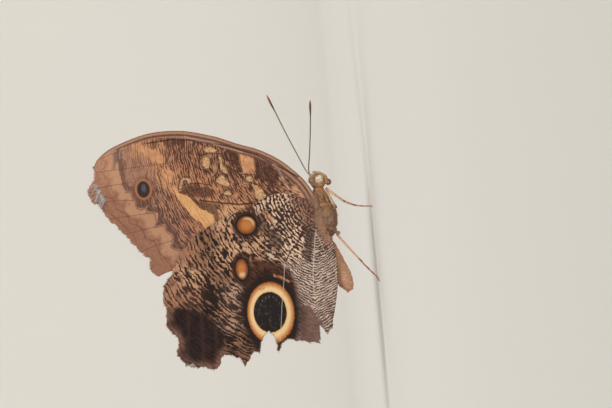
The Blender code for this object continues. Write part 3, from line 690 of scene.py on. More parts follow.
# Node materials
class Graph:
    """A node material, with short names for the nodes used here."""

    def __init__(self, name):
        self.material = bpy.data.materials.new(name)
        self.material.use_nodes = True
        self.tree = self.material.node_tree
        self.shader = self.tree.nodes["Principled BSDF"]

    def put(self, value, socket):
        if isinstance(value, bpy.types.NodeSocket):
            self.tree.links.new(value, socket)
        elif value is not None:
            socket.default_value = value

    def math(self, operation, first, second=None):
        node = self.tree.nodes.new("ShaderNodeMath")
        node.operation = operation
        for value, socket in zip((first, second), node.inputs):
            self.put(value, socket)
        return node.outputs[0]

    def add(self, first, second):
        return self.math("ADD", first, second)

    def times(self, first, second):
        return self.math("MULTIPLY", first, second)

    def attribute(self, name, output):
        node = self.tree.nodes.new("ShaderNodeAttribute")
        node.attribute_name = name
        return node.outputs[output]

    def vector(self, name):
        return self.attribute(name, "Vector")

    def colour(self, name):
        return self.attribute(name, "Color")

    def object_place(self):
        return self.tree.nodes.new("ShaderNodeTexCoord").outputs["Object"]

    def split(self, vector):
        node = self.tree.nodes.new("ShaderNodeSeparateXYZ")
        self.put(vector, node.inputs[0])
        return node.outputs[0], node.outputs[1], node.outputs[2]

    def join(self, x, y, z=0.0):
        node = self.tree.nodes.new("ShaderNodeCombineXYZ")
        for value, socket in zip((x, y, z), node.inputs):
            self.put(value, socket)
        return node.outputs[0]

    def noise(self, vector, scale, detail=2.0):
        node = self.tree.nodes.new("ShaderNodeTexNoise")
        self.put(vector, node.inputs["Vector"])
        node.inputs["Scale"].default_value = scale
        node.inputs["Detail"].default_value = detail
        return node.outputs["Fac"]

    def wander(self, vector, scale, amount, detail=2.0):
        """Noise centred on zero, about amount high to either side."""
        centred = self.math("SUBTRACT", self.noise(vector, scale, detail), 0.5)
        return self.times(centred, 3.0 * amount)

    def step(self, value, low, high, start=0.0, end=1.0):
        node = self.tree.nodes.new("ShaderNodeMapRange")
        node.interpolation_type = "SMOOTHSTEP"
        for key, number in (("From Min", low), ("From Max", high), ("To Min", start), ("To Max", end)):
            self.put(number, node.inputs[key])
        self.put(value, node.inputs["Value"])
        return node.outputs["Result"]

    def mix(self, share, first, second):
        node = self.tree.nodes.new("ShaderNodeMix")
        node.data_type = "RGBA"
        node.clamp_factor = True
        self.put(share, node.inputs["Factor"])
        for value, socket in ((first, node.inputs[6]), (second, node.inputs[7])):
            if isinstance(value, bpy.types.NodeSocket):
                self.put(value, socket)
            else:
                socket.default_value = (*linear(value), 1.0)
        return node.outputs[2]

    def cover(self, below, colour, value, full, gone, strength=1.0):
        """Colour laid over what is below: at full strength up to one value, gone past the next."""
        return self.mix(self.step(value, full, gone, strength, 0.0), below, colour)

    def shade(self, colour, share_noise, low, high):
        """Colour made darker or lighter by a noise."""
        node = self.tree.nodes.new("ShaderNodeVectorMath")
        node.operation = "SCALE"
        self.put(colour, node.inputs[0])
        self.put(self.step(share_noise, 0.25, 0.75, low, high), node.inputs["Scale"])
        return node.outputs[0]

    def bump(self, height, strength, distance):
        node = self.tree.nodes.new("ShaderNodeBump")
        node.inputs["Strength"].default_value = strength
        node.inputs["Distance"].default_value = distance
        self.put(height, node.inputs["Height"])
        self.tree.links.new(node.outputs["Normal"], self.shader.inputs["Normal"])

    def finish(self, colour, roughness, **settings):
        self.put(colour, self.shader.inputs["Base Color"])
        self.put(roughness, self.shader.inputs["Roughness"])
        for name, value in settings.items():
            self.shader.inputs[name.replace("_", " ")].default_value = value
        return self.material


def ripples(graph, layout):
    """Wavy strokes across the wing, from the ripple and tone values of the sheet."""
    along, across, fine = graph.split(graph.vector("ripple"))
    balance, dorsal = graph.split(graph.vector("tone"))[:2]
    drift = graph.wander(layout, 0.2, RIPPLE_DRIFT, 3.0)
    shiver = graph.wander(layout, 1.0, RIPPLE_SHIVER)
    bent = graph.add(along, graph.add(drift, shiver))
    coarse, close = (graph.math("SINE", graph.times(bent, 2.0 * math.pi / period))
                     for period in RIPPLE_PERIODS)
    wave = graph.add(graph.times(coarse, graph.math("SUBTRACT", 1.0, fine)), graph.times(close, fine))
    cells = graph.join(graph.times(bent, 1.15), graph.times(across, 0.55))
    regular = graph.step(fine, 0.75, 0.98, 1.0, 0.45)
    strokes = graph.times(graph.wander(cells, 1.0, 1.5), regular)
    patches = graph.wander(layout, 0.35, 0.35, 3.0)
    level = graph.add(graph.times(wave, 0.75), strokes)
    level = graph.add(level, graph.add(patches, graph.times(balance, 1.6)))
    return graph.step(level, -RIPPLE_SOFTNESS, RIPPLE_SOFTNESS), dorsal


def wing_base(graph):
    """Rippled ground colour, with the layout and two noises the markings share."""
    layout = graph.vector("layout")
    mask, dorsal = ripples(graph, layout)
    ground = graph.mix(mask, graph.colour("dark"), graph.colour("light"))
    jitter = graph.wander(layout, 1.5, 0.26, 3.0)
    ground = graph.shade(ground, graph.noise(layout, 0.5, 4.0), 0.8, 1.2)
    return layout, ground, mask, jitter, dorsal


def over(graph, below, colour, distance, jitter, width=0.16, strength=1.0):
    """Lay a blotch of colour over the ground where its signed distance is positive."""
    edge = graph.add(distance, jitter)
    share = graph.step(edge, -width, width, 0.0, strength)
    return graph.mix(share, below, colour)


def line_over(graph, below, colour, distance, jitter, strength):
    """Lay a line of colour over the ground; its distance is in half widths."""
    wobble = graph.add(distance, graph.times(jitter, 1.8))
    return graph.cover(below, colour, wobble, 0.4, 1.5, strength)


def stripe_over(graph, below, colour, place, middle, half_width, strength):
    """Lay a soft stripe over the ground where place is near its middle."""
    off = graph.math("ABSOLUTE", graph.math("SUBTRACT", place, middle))
    return graph.cover(below, colour, off, 0.5 * half_width, 1.4 * half_width, strength)


def wing_finish(graph, layout, colour, dorsal):
    """Scale grain, dorsal colour and surface of either wing."""
    grain = graph.noise(layout, 7.0, 2.0)
    colour = graph.shade(colour, grain, 0.86, 1.14)
    back = graph.shade(graph.colour("back"), graph.noise(layout, 0.4, 4.0), 0.8, 1.2)
    colour = graph.mix(dorsal, colour, back)
    graph.bump(graph.add(grain, graph.noise(layout, 2.2, 3.0)), 0.35, 0.00012)
    return graph.finish(colour, graph.step(grain, 0.3, 0.7, 0.62, 0.78), Sheen_Weight=0.03,
                        Sheen_Roughness=0.45, Specular_IOR_Level=0.22)


def forewing_margin(graph, layout, margin, texture):
    """Pale tiled band along the outer margin."""
    band = graph.shade(graph.colour("margin_tone"), texture, 0.82, 1.16)
    scallop = graph.add(margin, graph.wander(layout, 0.35, 1.6, 1.0))
    band = graph.cover(band, MARGIN_SCALLOP, scallop, 2.2, 4.0, 0.55)
    for middle, half_width, colour, strength in MARGIN_LINES:
        band = stripe_over(graph, band, colour, scallop, middle, half_width, strength)
    return band


def costal_band(graph, edge, jitter, texture):
    """Stripes that run along the leading edge."""
    place = graph.add(edge, graph.times(jitter, 0.3))
    band = graph.mix(graph.step(texture, 0.4, 0.65), *COSTAL_GROUND)
    for middle, half_width, colour, strength in COSTAL_STRIPES:
        band = stripe_over(graph, band, colour, place, middle, half_width, strength)
    return band


def small_eyespot(graph, below, eye, glint, jitter):
    ring = graph.add(eye, graph.times(jitter, 0.4))
    colour = below
    for full, gone, strength, tone in SMALL_EYE_RINGS:
        colour = graph.cover(colour, tone, ring, full, gone, strength)
    return graph.cover(colour, SMALL_EYE_GLINT_COLOUR, glint, 0.3, 1.5, 0.75)


def forewing_material():
    graph = Graph("forewing_scales")
    layout, colour, mask, jitter, dorsal = wing_base(graph)
    cream, dark, tan = graph.split(graph.vector("marks"))
    dark_line, pale_line, margin = graph.split(graph.vector("strokes"))
    eye, grey, edge = graph.split(graph.vector("spots"))
    fine_line, costa, glint = graph.split(graph.vector("veins"))
    texture = graph.noise(layout, 1.3, 4.0)
    deep = graph.mix(graph.step(texture, 0.4, 0.66), *DEEP_BROWN)
    colour = over(graph, colour, deep, dark, jitter, 0.4, 0.75)
    solid = graph.mix(mask, *TAN_PATCH)
    colour = over(graph, colour, solid, graph.add(tan, 0.3), jitter, 0.2, 0.95)
    rim = graph.add(cream, 0.5)
    colour = over(graph, colour, CREAM_RIM, rim, graph.times(jitter, 1.6), 0.25, 0.55)
    speck = graph.mix(graph.step(texture, 0.4, 0.6), *CREAM_PATCH)
    colour = over(graph, colour, speck, cream, graph.times(jitter, 1.8), 0.16, 0.92)
    band = forewing_margin(graph, layout, margin, texture)
    colour = stripe_over(graph, colour, MARGIN_BORDER_LINE, graph.add(margin, jitter), -0.7, 0.9, 0.6)
    colour = over(graph, colour, band, margin, jitter, 0.2, 0.94)
    colour = line_over(graph, colour, FOREWING_LINE_COLOURS["fine"], fine_line, jitter, 0.5)
    colour = over(graph, colour, WING_TIP_GREY, grey, jitter, 0.7, 0.75)
    colour = graph.mix(costa, colour, costal_band(graph, edge, jitter, texture))
    colour = line_over(graph, colour, FOREWING_LINE_COLOURS["dark"], dark_line, jitter, 0.85)
    colour = line_over(graph, colour, FOREWING_LINE_COLOURS["pale"], pale_line, jitter, 0.36)
    colour = small_eyespot(graph, colour, eye, glint, jitter)
    return wing_finish(graph, layout, colour, dorsal)


def orange_spot(graph, below, spot, ring_end, glint, jitter):
    """Orange spot with a black ring and a lit crescent."""
    near = graph.add(spot, graph.times(jitter, 0.16))
    colour = graph.cover(below, SPOT_SHADOW, near, ring_end, ring_end + 0.35, 0.9)
    colour = graph.cover(colour, SPOT_BLACK, near, 1.08, 1.3)
    orange = graph.mix(graph.step(near, 0.3, 1.0), *SPOT_ORANGE)
    orange = graph.mix(graph.step(glint, -0.2, 1.0, 0.0, 0.8), orange, SPOT_GLINT)
    return graph.cover(colour, orange, near, 0.9, 1.06)


def ring_spot(graph, below, ring, glint, jitter, layout):
    """Great eyespot: black, a pale ring that turns orange outwards, and a black centre."""
    turn = graph.add(ring, graph.times(jitter, 0.25))
    colour = graph.cover(below, RING_BLACK, turn, 1.2, 2.0, 0.95)
    band = graph.mix(graph.step(turn, 0.45, 1.0), RING_PALE, RING_ORANGE)
    band = graph.cover(band, RING_INNER_EDGE, turn, 0.0, 0.25, 0.5)
    colour = graph.cover(colour, band, turn, 0.92, 1.1)
    cloud = graph.noise(layout, 0.9, 3.0)
    centre = graph.mix(graph.step(cloud, 0.5, 0.8), *RING_CENTRE)
    centre = over(graph, centre, RING_GLINT, glint, jitter, 0.3, 0.6)
    return graph.cover(colour, centre, turn, -0.06, 0.1)


def hindwing_material():
    graph = Graph("hindwing_scales")
    layout, colour, mask, jitter, dorsal = wing_base(graph)
    cream, dark, glint = graph.split(graph.vector("marks"))
    dark_line, pale_line, edge = graph.split(graph.vector("strokes"))
    big, middle, ring = graph.split(graph.vector("spots"))
    fine_line, tan = graph.split(graph.vector("veins"))[:2]
    colour = over(graph, colour, HINDWING_DEEP, dark, jitter, 0.6, 0.75)
    colour = over(graph, colour, HINDWING_CREAM_COLOUR, cream, graph.times(jitter, 1.6), 0.2, 0.9)
    colour = graph.cover(colour, HINDWING_LINE_COLOURS["halo"], fine_line, 0.0, 6.0, 0.12)
    colour = line_over(graph, colour, HINDWING_LINE_COLOURS["fine"], fine_line, jitter, 0.5)
    colour = line_over(graph, colour, HINDWING_LINE_COLOURS["dark"], dark_line, jitter, 0.85)
    colour = orange_spot(graph, colour, big, 1.36, glint, jitter)
    colour = orange_spot(graph, colour, middle, 1.45, glint, jitter)
    colour = ring_spot(graph, colour, ring, glint, jitter, layout)
    warm = graph.mix(mask, *HINDWING_WARM)
    colour = over(graph, colour, warm, tan, graph.times(jitter, 1.6), 0.25, 0.7)
    calm = graph.times(jitter, 0.7)
    colour = line_over(graph, colour, HINDWING_LINE_COLOURS["pale"], pale_line, calm, 0.65)
    colour = graph.cover(colour, HINDWING_EDGE, edge, 0.1, 0.4, 0.35)
    return wing_finish(graph, layout, colour, dorsal)


# Wings
def sheet_height(points):
    """Sideways place of the hindwing sheet, as in part.py."""
    reach = polyline_distance(points, BODY_LINE)
    closing = 1.0 - smooth_step(*ROOT_REACH, reach)
    opening = smooth_step(*FLARE_REACH, reach)
    return WING_CLOSED_Y + (WING_ROOT_Y - WING_CLOSED_Y) * closing + WING_FLARE_Y * opening


def worn_outline(outline, worn):
    """Outline with small tears along the worn margin."""
    path = resample(outline_path(outline), RIM_SPACING)[:-1]
    ahead = np.roll(path, -1, axis=0) - np.roll(path, 1, axis=0)
    outward = np.column_stack((ahead[:, 1], -ahead[:, 0]))
    outward /= np.linalg.norm(outward, axis=1)[:, None]
    ragged = value_noise(path, 0.9, 3.0) * 0.45 + value_noise(path, 2.3, 9.0) * 0.3
    return path + outward * (ragged * worn(path))[:, None]


def sheet_mesh(outline, veins):
    """Triangulated sheet: points (x, z) and triangles, with points along every line."""
    low = outline.min(axis=0)
    high = outline.max(axis=0)
    columns = np.arange(low[0], high[0], SHEET_SPACING)
    rows = np.arange(low[1], high[1], SHEET_SPACING * math.sqrt(0.75))
    grid = np.array([(x + (SHEET_SPACING / 2 if index % 2 else 0.0), z)
                     for index, z in enumerate(rows) for x in columns])
    drawn = np.vstack([resample(path, LINE_SPACING) for path in veins])
    grid = grid[nearest(grid, veins) > LINE_CLEARANCE]
    inner = np.vstack((grid, drawn))
    inner = inner[signed_distance(inner, outline) > RIM_CLEARANCE]
    coords = [Vector(point) for point in np.vstack((outline, inner))]
    border = [list(range(len(outline)))]
    points, _, faces, *_ = delaunay_2d_cdt(coords, [], border, 1, 1e-5)
    return np.array([tuple(point) for point in points]), np.array(faces, dtype=np.int64)


def border_edges(triangles):
    """Directed edges that only one triangle has."""
    edges = np.vstack((triangles[:, (0, 1)], triangles[:, (1, 2)], triangles[:, (2, 0)]))
    both = {tuple(edge) for edge in edges}
    return np.array([edge for edge in edges if (edge[1], edge[0]) not in both])


def blend_tones(points, seeds):
    """Light and dark colour, balance and fineness at each point, from the seeds near it."""
    total = np.zeros(len(points))
    light = np.zeros((len(points), 3))
    dark = np.zeros((len(points), 3))
    feel = np.zeros((len(points), 2))
    for x, z, reach, tone, balance, fine in seeds:
        share = np.exp(-((points - (x, z)) ** 2).sum(axis=1) / (reach * reach)) + 1e-12 / reach
        total += share
        light += share[:, None] * linear(TONES[tone][0])
        dark += share[:, None] * linear(TONES[tone][1])
        feel += share[:, None] * np.array((balance, fine))
    return light / total[:, None], dark / total[:, None], feel / total[:, None]


def repaint(values, share, tone, balance, fine):
    """Move light, dark and feel towards one tone by each point's share."""
    light, dark, feel = values
    share = share[:, None]
    return (
        light + share * (linear(TONES[tone][0]) - light),
        dark + share * (linear(TONES[tone][1]) - dark),
        feel + share * (np.array((balance, fine)) - feel),
    )


def with_alpha(colours):
    return np.column_stack((colours, np.ones(len(colours))))


def crescent(points, spot, direction, spread, place, depth):
    """1 along an arc inside an oval spot, lower away from it."""
    centre, semi_axes = spot
    offset = (points - np.asarray(centre)) / np.asarray(semi_axes)
    angle = np.degrees(np.arctan2(offset[:, 1], offset[:, 0])) - direction
    turn = np.abs((angle + 180.0) % 360.0 - 180.0) / spread
    across = np.abs(np.linalg.norm(offset, axis=1) - place) / depth
    return 1.0 - np.hypot(across, turn ** 2)


def wing_relief(points, veins):
    """Height of the wing's own shape: raised veins with shallow pleats between them."""
    distance = nearest(points, veins)
    vein = VEIN_HEIGHT * np.exp(-((distance / 0.26) ** 2))
    return vein - PLEAT_DEPTH * smooth_step(0.3, 4.0, distance)


def blend(share, first, second):
    """Colour between two screen colours, by each point's share."""
    return linear(first) + share[:, None] * (linear(second) - linear(first))


def dorsal_tones(edge, tone):
    """Upper side: plain middle tone that darkens towards the outer margin."""
    return with_alpha(blend(1.0 - smooth_step(3.0, 12.0, edge), tone, DORSAL_EDGE))


def forewing_values(points, edge):
    values = blend_tones(points, FOREWING_TONES)
    margin = signed_distance(points, MARGIN_BORDER)
    rippled = smooth_step(-0.7, 0.5, blotches(points, FOREWING_RIPPLED_TAN))
    values = repaint(values, rippled, "subapex", 0.5, 0.7)
    light, dark, feel = values
    tone = blend(smooth_step(20.0, 31.0, points[:, 0]), MARGIN_INNER, MARGIN_APEX)
    leading = np.array([(x, z) for x, z, _ in FOREWING_OUTLINE[1:10]])
    width = np.interp(points[:, 1], *COSTAL_WIDTH)
    inward = np.maximum(edge, polyline_distance(points, leading) - 0.5)
    costa = 1.0 - smooth_step(-0.35, 0.35, inward - width)
    veins = np.column_stack((
        lines(points, FOREWING_FINE_LINES), costa, oval(points, *SMALL_EYE_GLINT)))
    stroke = np.column_stack((
        lines(points, FOREWING_DARK_LINES), lines(points, FOREWING_PALE_LINES), margin))
    spot = np.column_stack((
        ring_share(points, SMALL_EYE[:2], (SMALL_EYE[0], SMALL_EYE[2])),
        blotches(points, FOREWING_GREY), edge))
    cream = np.maximum(blotches(points, FOREWING_CREAM),
                       HOOK_WIDTH - polyline_distance(points, FOREWING_HOOK))
    mark = np.column_stack((cream, blotches(points, FOREWING_DARK), blotches(points, FOREWING_TAN)))
    return {
        "light": with_alpha(light), "dark": with_alpha(dark), "feel": feel,
        "margin_tone": with_alpha(tone), "strokes": stroke, "spots": spot,
        "marks": mark, "veins": veins,
        "ripple_centre": FOREWING_RIPPLE_CENTRE, "ripple_rate": FOREWING_RIPPLE_RATE, "ripple_fold": 0.0,
        "back": dorsal_tones(edge, DORSAL_FOREWING),
    }


def hindwing_values(points, edge):
    values = blend_tones(points, HINDWING_TONES)
    halo = smooth_step(-0.8, 1.0, signed_distance(points, RING_ZONE))
    values = repaint(values, halo, "halo", 0.1, 0.4)
    ragged = 0.9 * value_noise(points, 0.35, 7.0) + 0.5 * value_noise(points, 1.1, 8.0)
    corner = smooth_step(-1.2, 1.4, signed_distance(points, CORNER_ZONE) + ragged)
    values = repaint(values, corner, "corner", 0.1, 0.5)
    panel = smooth_step(-0.3, 0.4, signed_distance(points, PANEL_ZONE))
    values = repaint(values, panel, "panel", 0.1, 0.3)
    rim = corner * (1.0 - smooth_step(0.2, 3.0, edge)) * (0.75 + 0.5 * value_noise(points, 0.3, 2.0))
    values = repaint(values, np.clip(rim, 0.0, 0.9), "rim", 0.1, 0.2)
    beside = 1.0 - smooth_step(0.3, 1.0, polyline_distance(points, HINDWING_MAUVE_STREAK))
    values = repaint(values, 0.8 * beside, "streak", 0.1, 0.6)
    light, dark, feel = values
    glints = [crescent(points, BIG_SPOT, -40.0, 75.0, 0.72, 0.17),
              crescent(points, MIDDLE_SPOT, 180.0, 60.0, 0.55, 0.34)]
    # Row of small glints round the front half of the black centre
    for step in range(9):
        angle = math.radians(-80.0 + 20.0 * step)
        spot = (-18.9 + 4.6 * math.cos(angle), 34.6 - 3.5 * math.sin(angle))
        glints.append(0.5 - 0.5 * oval(points, spot, (0.45, 0.16)))
    glint = np.max(glints, axis=0)
    mark = np.column_stack((blotches(points, HINDWING_CREAM), blotches(points, HINDWING_DARK), glint))
    stroke = np.column_stack((
        lines(points, HINDWING_DARK_LINES), lines(points, HINDWING_PALE_LINES), edge))
    veins = np.column_stack((
        lines(points, HINDWING_FINE_LINES), blotches(points, HINDWING_TAN), np.zeros(len(points))))
    fold = FOLD_SLOPE * np.minimum(polyline_distance(points, RIPPLE_FOLD), FOLD_REACH)
    spot = np.column_stack((
        oval(points, *BIG_SPOT), oval(points, *MIDDLE_SPOT), ring_share(points, RING_INNER, RING_OUTER)))
    return {
        "light": with_alpha(light), "dark": with_alpha(dark), "feel": feel, "strokes": stroke,
        "spots": spot, "marks": mark, "veins": veins,
        "ripple_centre": HINDWING_RIPPLE_CENTRE, "ripple_rate": 1.0, "ripple_fold": fold,
        "back": dorsal_tones(edge, DORSAL_HINDWING),
    }


def wing_sheet(kind, outline, veins, line_sets, values_of, inset, worn):
    """Everything both wings of a pair share, before they are placed left or right."""
    path = worn_outline(outline, worn)
    drawn = [line for _, line in line_sets] + list(veins)
    points, triangles = sheet_mesh(path, drawn)
    edge = signed_distance(points, path)
    values = values_of(points, np.maximum(edge, 0.0))
    feel = values.pop("feel")
    centre, rate, fold = (values.pop("ripple_" + name) for name in ("centre", "rate", "fold"))
    offset = points - np.asarray(centre)
    along = rate * np.linalg.norm(offset, axis=1) + fold
    across = np.arctan2(offset[:, 1], offset[:, 0]) * RIPPLE_FAN
    values["ripple"] = np.column_stack((along, across, feel[:, 1]))
    waves = WAVE_HEIGHT * np.sin(points @ np.array(WAVE_RUN)) * (1.0 - smooth_step(0.0, 12.0, edge))
    height = sheet_height(points) - inset + waves
    relief = wing_relief(points, veins) * smooth_step(0.0, 0.6, edge)
    return {
        "kind": kind, "points": points, "triangles": triangles, "height": height,
        "relief": relief, "values": values, "balance": feel[:, 0], "path": path,
        "worn": worn, "inset": inset,
    }


def wing_uv(points, triangles, rim):
    """Underside large and upper side small, side by side, in the bake map."""
    low = points.min(axis=0)
    size = (points.max(axis=0) - low).max()
    flat = (points - low) / size
    wide = flat[:, 0].max()
    under = flat * min(MAP_HEIGHT, MAP_UNDERSIDE / wide) + MAP_MARGIN
    upper = flat * min(MAP_HEIGHT, MAP_UPPER_SIDE / wide) + np.array((MAP_UPPER_START, MAP_MARGIN))
    both = np.vstack((under, upper))
    corner = both[triangles]
    outward = flat - flat.mean(axis=0)
    rim_uv = np.vstack((under, under + 0.002 * outward))[rim]
    return np.vstack((corner, rim_uv)).reshape(-1, 2)


def build_wing(sheet, label, side, material):
    points = sheet["points"]
    count = len(points)
    outer = side * (sheet["height"] + OUTER_FACE + sheet["relief"])
    inner = side * (sheet["height"] + OUTER_FACE - WING_THICKNESS + sheet["relief"])
    under = np.column_stack((points[:, 0], outer, points[:, 1]))
    upper = np.column_stack((points[:, 0], inner, points[:, 1]))
    triangles = sheet["triangles"]
    faces = np.vstack((triangles, triangles[:, ::-1] + count))
    edges = border_edges(triangles)
    first, second = edges[:, 0], edges[:, 1]
    rim = np.vstack((np.column_stack((first, first + count, second)),
                     np.column_stack((second, first + count, second + count))))
    everything = np.vstack((faces, rim))
    corner_uv = wing_uv(points, faces, rim)
    if side > 0.0:
        everything = everything[:, ::-1]
        corner_uv = corner_uv.reshape(-1, 3, 2)[:, ::-1].reshape(-1, 2)
    zero = np.zeros(count)
    values = {name: np.vstack((value, value)) for name, value in sheet["values"].items()}
    values["layout"] = np.vstack([np.column_stack((points, zero + layer)) for layer in (0.0, DORSAL_LAYER)])
    balance = sheet["balance"]
    values["tone"] = np.vstack([np.column_stack((balance, zero + dorsal, zero)) for dorsal in (0.0, 1.0)])
    pile = Pile()
    pile.add(np.vstack((under, upper)), everything, **values)
    name = f"{sheet['kind']}_{label}_sheet"
    made = pile.build(name, material, corner_uv)
    finish_piece(made, sheet["kind"], f"{sheet['kind']}_{label}")


def build_fringe(sheets):
    """Short fringe along the outer margins and whitish threads at the torn wing tip."""
    material = coat_material("fringe_scales")
    for label, side in SIDES:
        pile = Pile()
        for sheet in sheets:
            path = sheet["path"][sheet["worn"](sheet["path"]) > 0.5]
            pick = RANDOM.integers(1, len(path) - 1, int(len(path) * 0.9))
            spot = path[pick] + RANDOM.uniform(-0.15, 0.15, (len(pick), 2))
            outward = spot - np.array(FRINGE_CENTRES[sheet["kind"]])
            y = side * (sheet_height(spot) - sheet["inset"] + OUTER_FACE - WING_THICKNESS / 2)
            root = np.column_stack((spot[:, 0], y, spot[:, 1]))
            lie = np.column_stack((outward[:, 0], np.zeros(len(pick)), outward[:, 1]))
            lie = unit(lie) + RANDOM.normal(0.0, 0.25, root.shape)
            facing = np.tile(np.array((0.0, side, 0.0)), (len(pick), 1))
            tint = blend(RANDOM.random(len(pick)) ** 3, *FRINGE_COLOURS)
            uv = (spot - spot.min(axis=0)) / 90.0 + 0.03
            tufts(pile, root, facing, lie, RANDOM.uniform(0.2, 0.5, len(pick)),
                  np.full(len(pick), 0.09), 0.1, tint, uv, (0.0, 0.55))
        for fray in FRAYS:
            add_fray(pile, side, *fray)
        finish_piece(pile.build(f"wing_fringe_{label}", material), "forewing")


def add_fray(pile, side, start, end, count, longest):
    """Loose whitish threads that hang from a torn place."""
    start, end = np.array((start, end))
    inset = LAYER_STEP if start[0] > 0.0 else 0.0
    for _ in range(count):
        spot = start + (end - start) * RANDOM.random() + RANDOM.normal(0.0, 0.3, 2)
        y = side * (float(sheet_height(spot[None])[0]) - inset + OUTER_FACE + 0.05)
        length = longest * RANDOM.uniform(0.25, 1.0)
        reach = np.array(
            (RANDOM.uniform(-1.0, 0.1), side * RANDOM.uniform(-0.1, 0.3), RANDOM.uniform(0.2, 0.9)))
        droop = np.array((-0.7, 0.0, -0.1)) * length * RANDOM.uniform(0.1, 0.7)
        t = np.linspace(0.0, 1.0, 8)[:, None]
        curl = np.sin(t * RANDOM.uniform(3.0, 9.0)) * RANDOM.normal(0.0, 0.12, 3) * t
        path = np.array((spot[0], y, spot[1])) + unit(reach) * length * t + droop * t * t + curl
        rows = np.column_stack((path, 0.075 * (1.0 - 0.7 * t)))
        points, triangles = sweep(rows, 5)
        tint = linear(THREAD_COLOUR) * RANDOM.uniform(0.7, 1.0)
        pile.add(points, triangles, tint=with_alpha(np.tile(tint, (len(points), 1))),
                 uv=np.tile((0.9, 0.9), (len(points), 1)))


def forewing_wear(path):
    """1 along the worn outer margin, almost 0 elsewhere."""
    return np.where((path[:, 1] > 68.0) & (path[:, 0] < 31.5), 1.0, 0.05)


def hindwing_wear(path):
    """1 along the worn outer margin and inner corner, almost 0 elsewhere."""
    return np.where(((path[:, 1] > 60.0) & (path[:, 0] < 0.0)) | (path[:, 0] < -24.0), 1.0, 0.08)


def build_wings():
    fore = wing_sheet(
        "forewing", FOREWING_OUTLINE, FOREWING_VEINS,
        FOREWING_DARK_LINES + FOREWING_PALE_LINES + FOREWING_FINE_LINES + ((HOOK_WIDTH, FOREWING_HOOK),),
        forewing_values, LAYER_STEP, forewing_wear)
    hind = wing_sheet(
        "hindwing", HINDWING_OUTLINE, HINDWING_VEINS,
        HINDWING_DARK_LINES + HINDWING_PALE_LINES + HINDWING_FINE_LINES,
        hindwing_values, 0.0, hindwing_wear)
    for sheet, material in ((fore, forewing_material()), (hind, hindwing_material())):
        for label, side in SIDES:
            build_wing(sheet, label, side, material)
    build_fringe((fore, hind))


# Body
def smooth_path(points, spacing):
    """Evenly spaced rows of a smooth curve through the given ones."""
    points = np.asarray(points, dtype=float)
    padded = np.vstack((2 * points[0] - points[1], points, 2 * points[-1] - points[-2]))
    rows = []
    for index in range(len(points) - 1):
        before, start, end, after = padded[index:index + 4]
        for t in np.linspace(0.0, 1.0, 24, endpoint=False):
            rows.append(0.5 * (2 * start + (end - before) * t
                               + (2 * before - 5 * start + 4 * end - after) * t ** 2
                               + (3 * start - before - 3 * end + after) * t ** 3))
    rows.append(points[-1])
    return resample(rows, spacing, 2)


def unit(vectors):
    return vectors / np.maximum(np.linalg.norm(vectors, axis=-1, keepdims=True), 1e-9)


def path_frames(path):
    """Direction and two sideways vectors at each point of a path, with no twist."""
    ahead = unit(np.gradient(path, axis=0))
    guess = np.array((0.0, 1.0, 0.0)) if abs(ahead[0][1]) < 0.8 else np.array((1.0, 0.0, 0.0))
    across = []
    for direction in ahead:
        guess = guess - direction * (guess @ direction)
        guess = guess / np.linalg.norm(guess)
        across.append(guess)
    across = np.array(across)
    return ahead, across, np.cross(ahead, across)


def sweep(rows, sides):
    """Points and triangles of a closed tube along rows of x, y, z and radius."""
    path = rows[:, :3]
    ahead, across, over_it = path_frames(path)
    angles = np.linspace(0.0, 2.0 * math.pi, sides, endpoint=False)
    circle = (across[:, None, :] * np.cos(angles)[None, :, None]
              + over_it[:, None, :] * np.sin(angles)[None, :, None])
    rings = path[:, None, :] + circle * rows[:, 3][:, None, None]
    count = len(rows)
    tips = np.array((path[0] - ahead[0] * rows[0, 3] * 0.6, path[-1] + ahead[-1] * rows[-1, 3] * 0.6))
    points = np.vstack((rings.reshape(-1, 3), tips))
    start, end = count * sides, count * sides + 1
    triangles = []
    for step in range(sides):
        after = (step + 1) % sides
        low = np.arange(count - 1) * sides
        triangles.append(np.column_stack((low + step, low + after, low + sides + after)))
        triangles.append(np.column_stack((low + step, low + sides + after, low + sides + step)))
        triangles.append(np.array(((start, after, step),)))
        last = (count - 1) * sides
        triangles.append(np.array(((end, last + step, last + after),)))
    return points, np.vstack(triangles)


def sweep_share(rows, sides):
    """Share of the way along the tube at each point that sweep makes."""
    share = np.linspace(0.0, 1.0, len(rows))
    return np.concatenate((np.repeat(share, sides), (0.0, 1.0)))


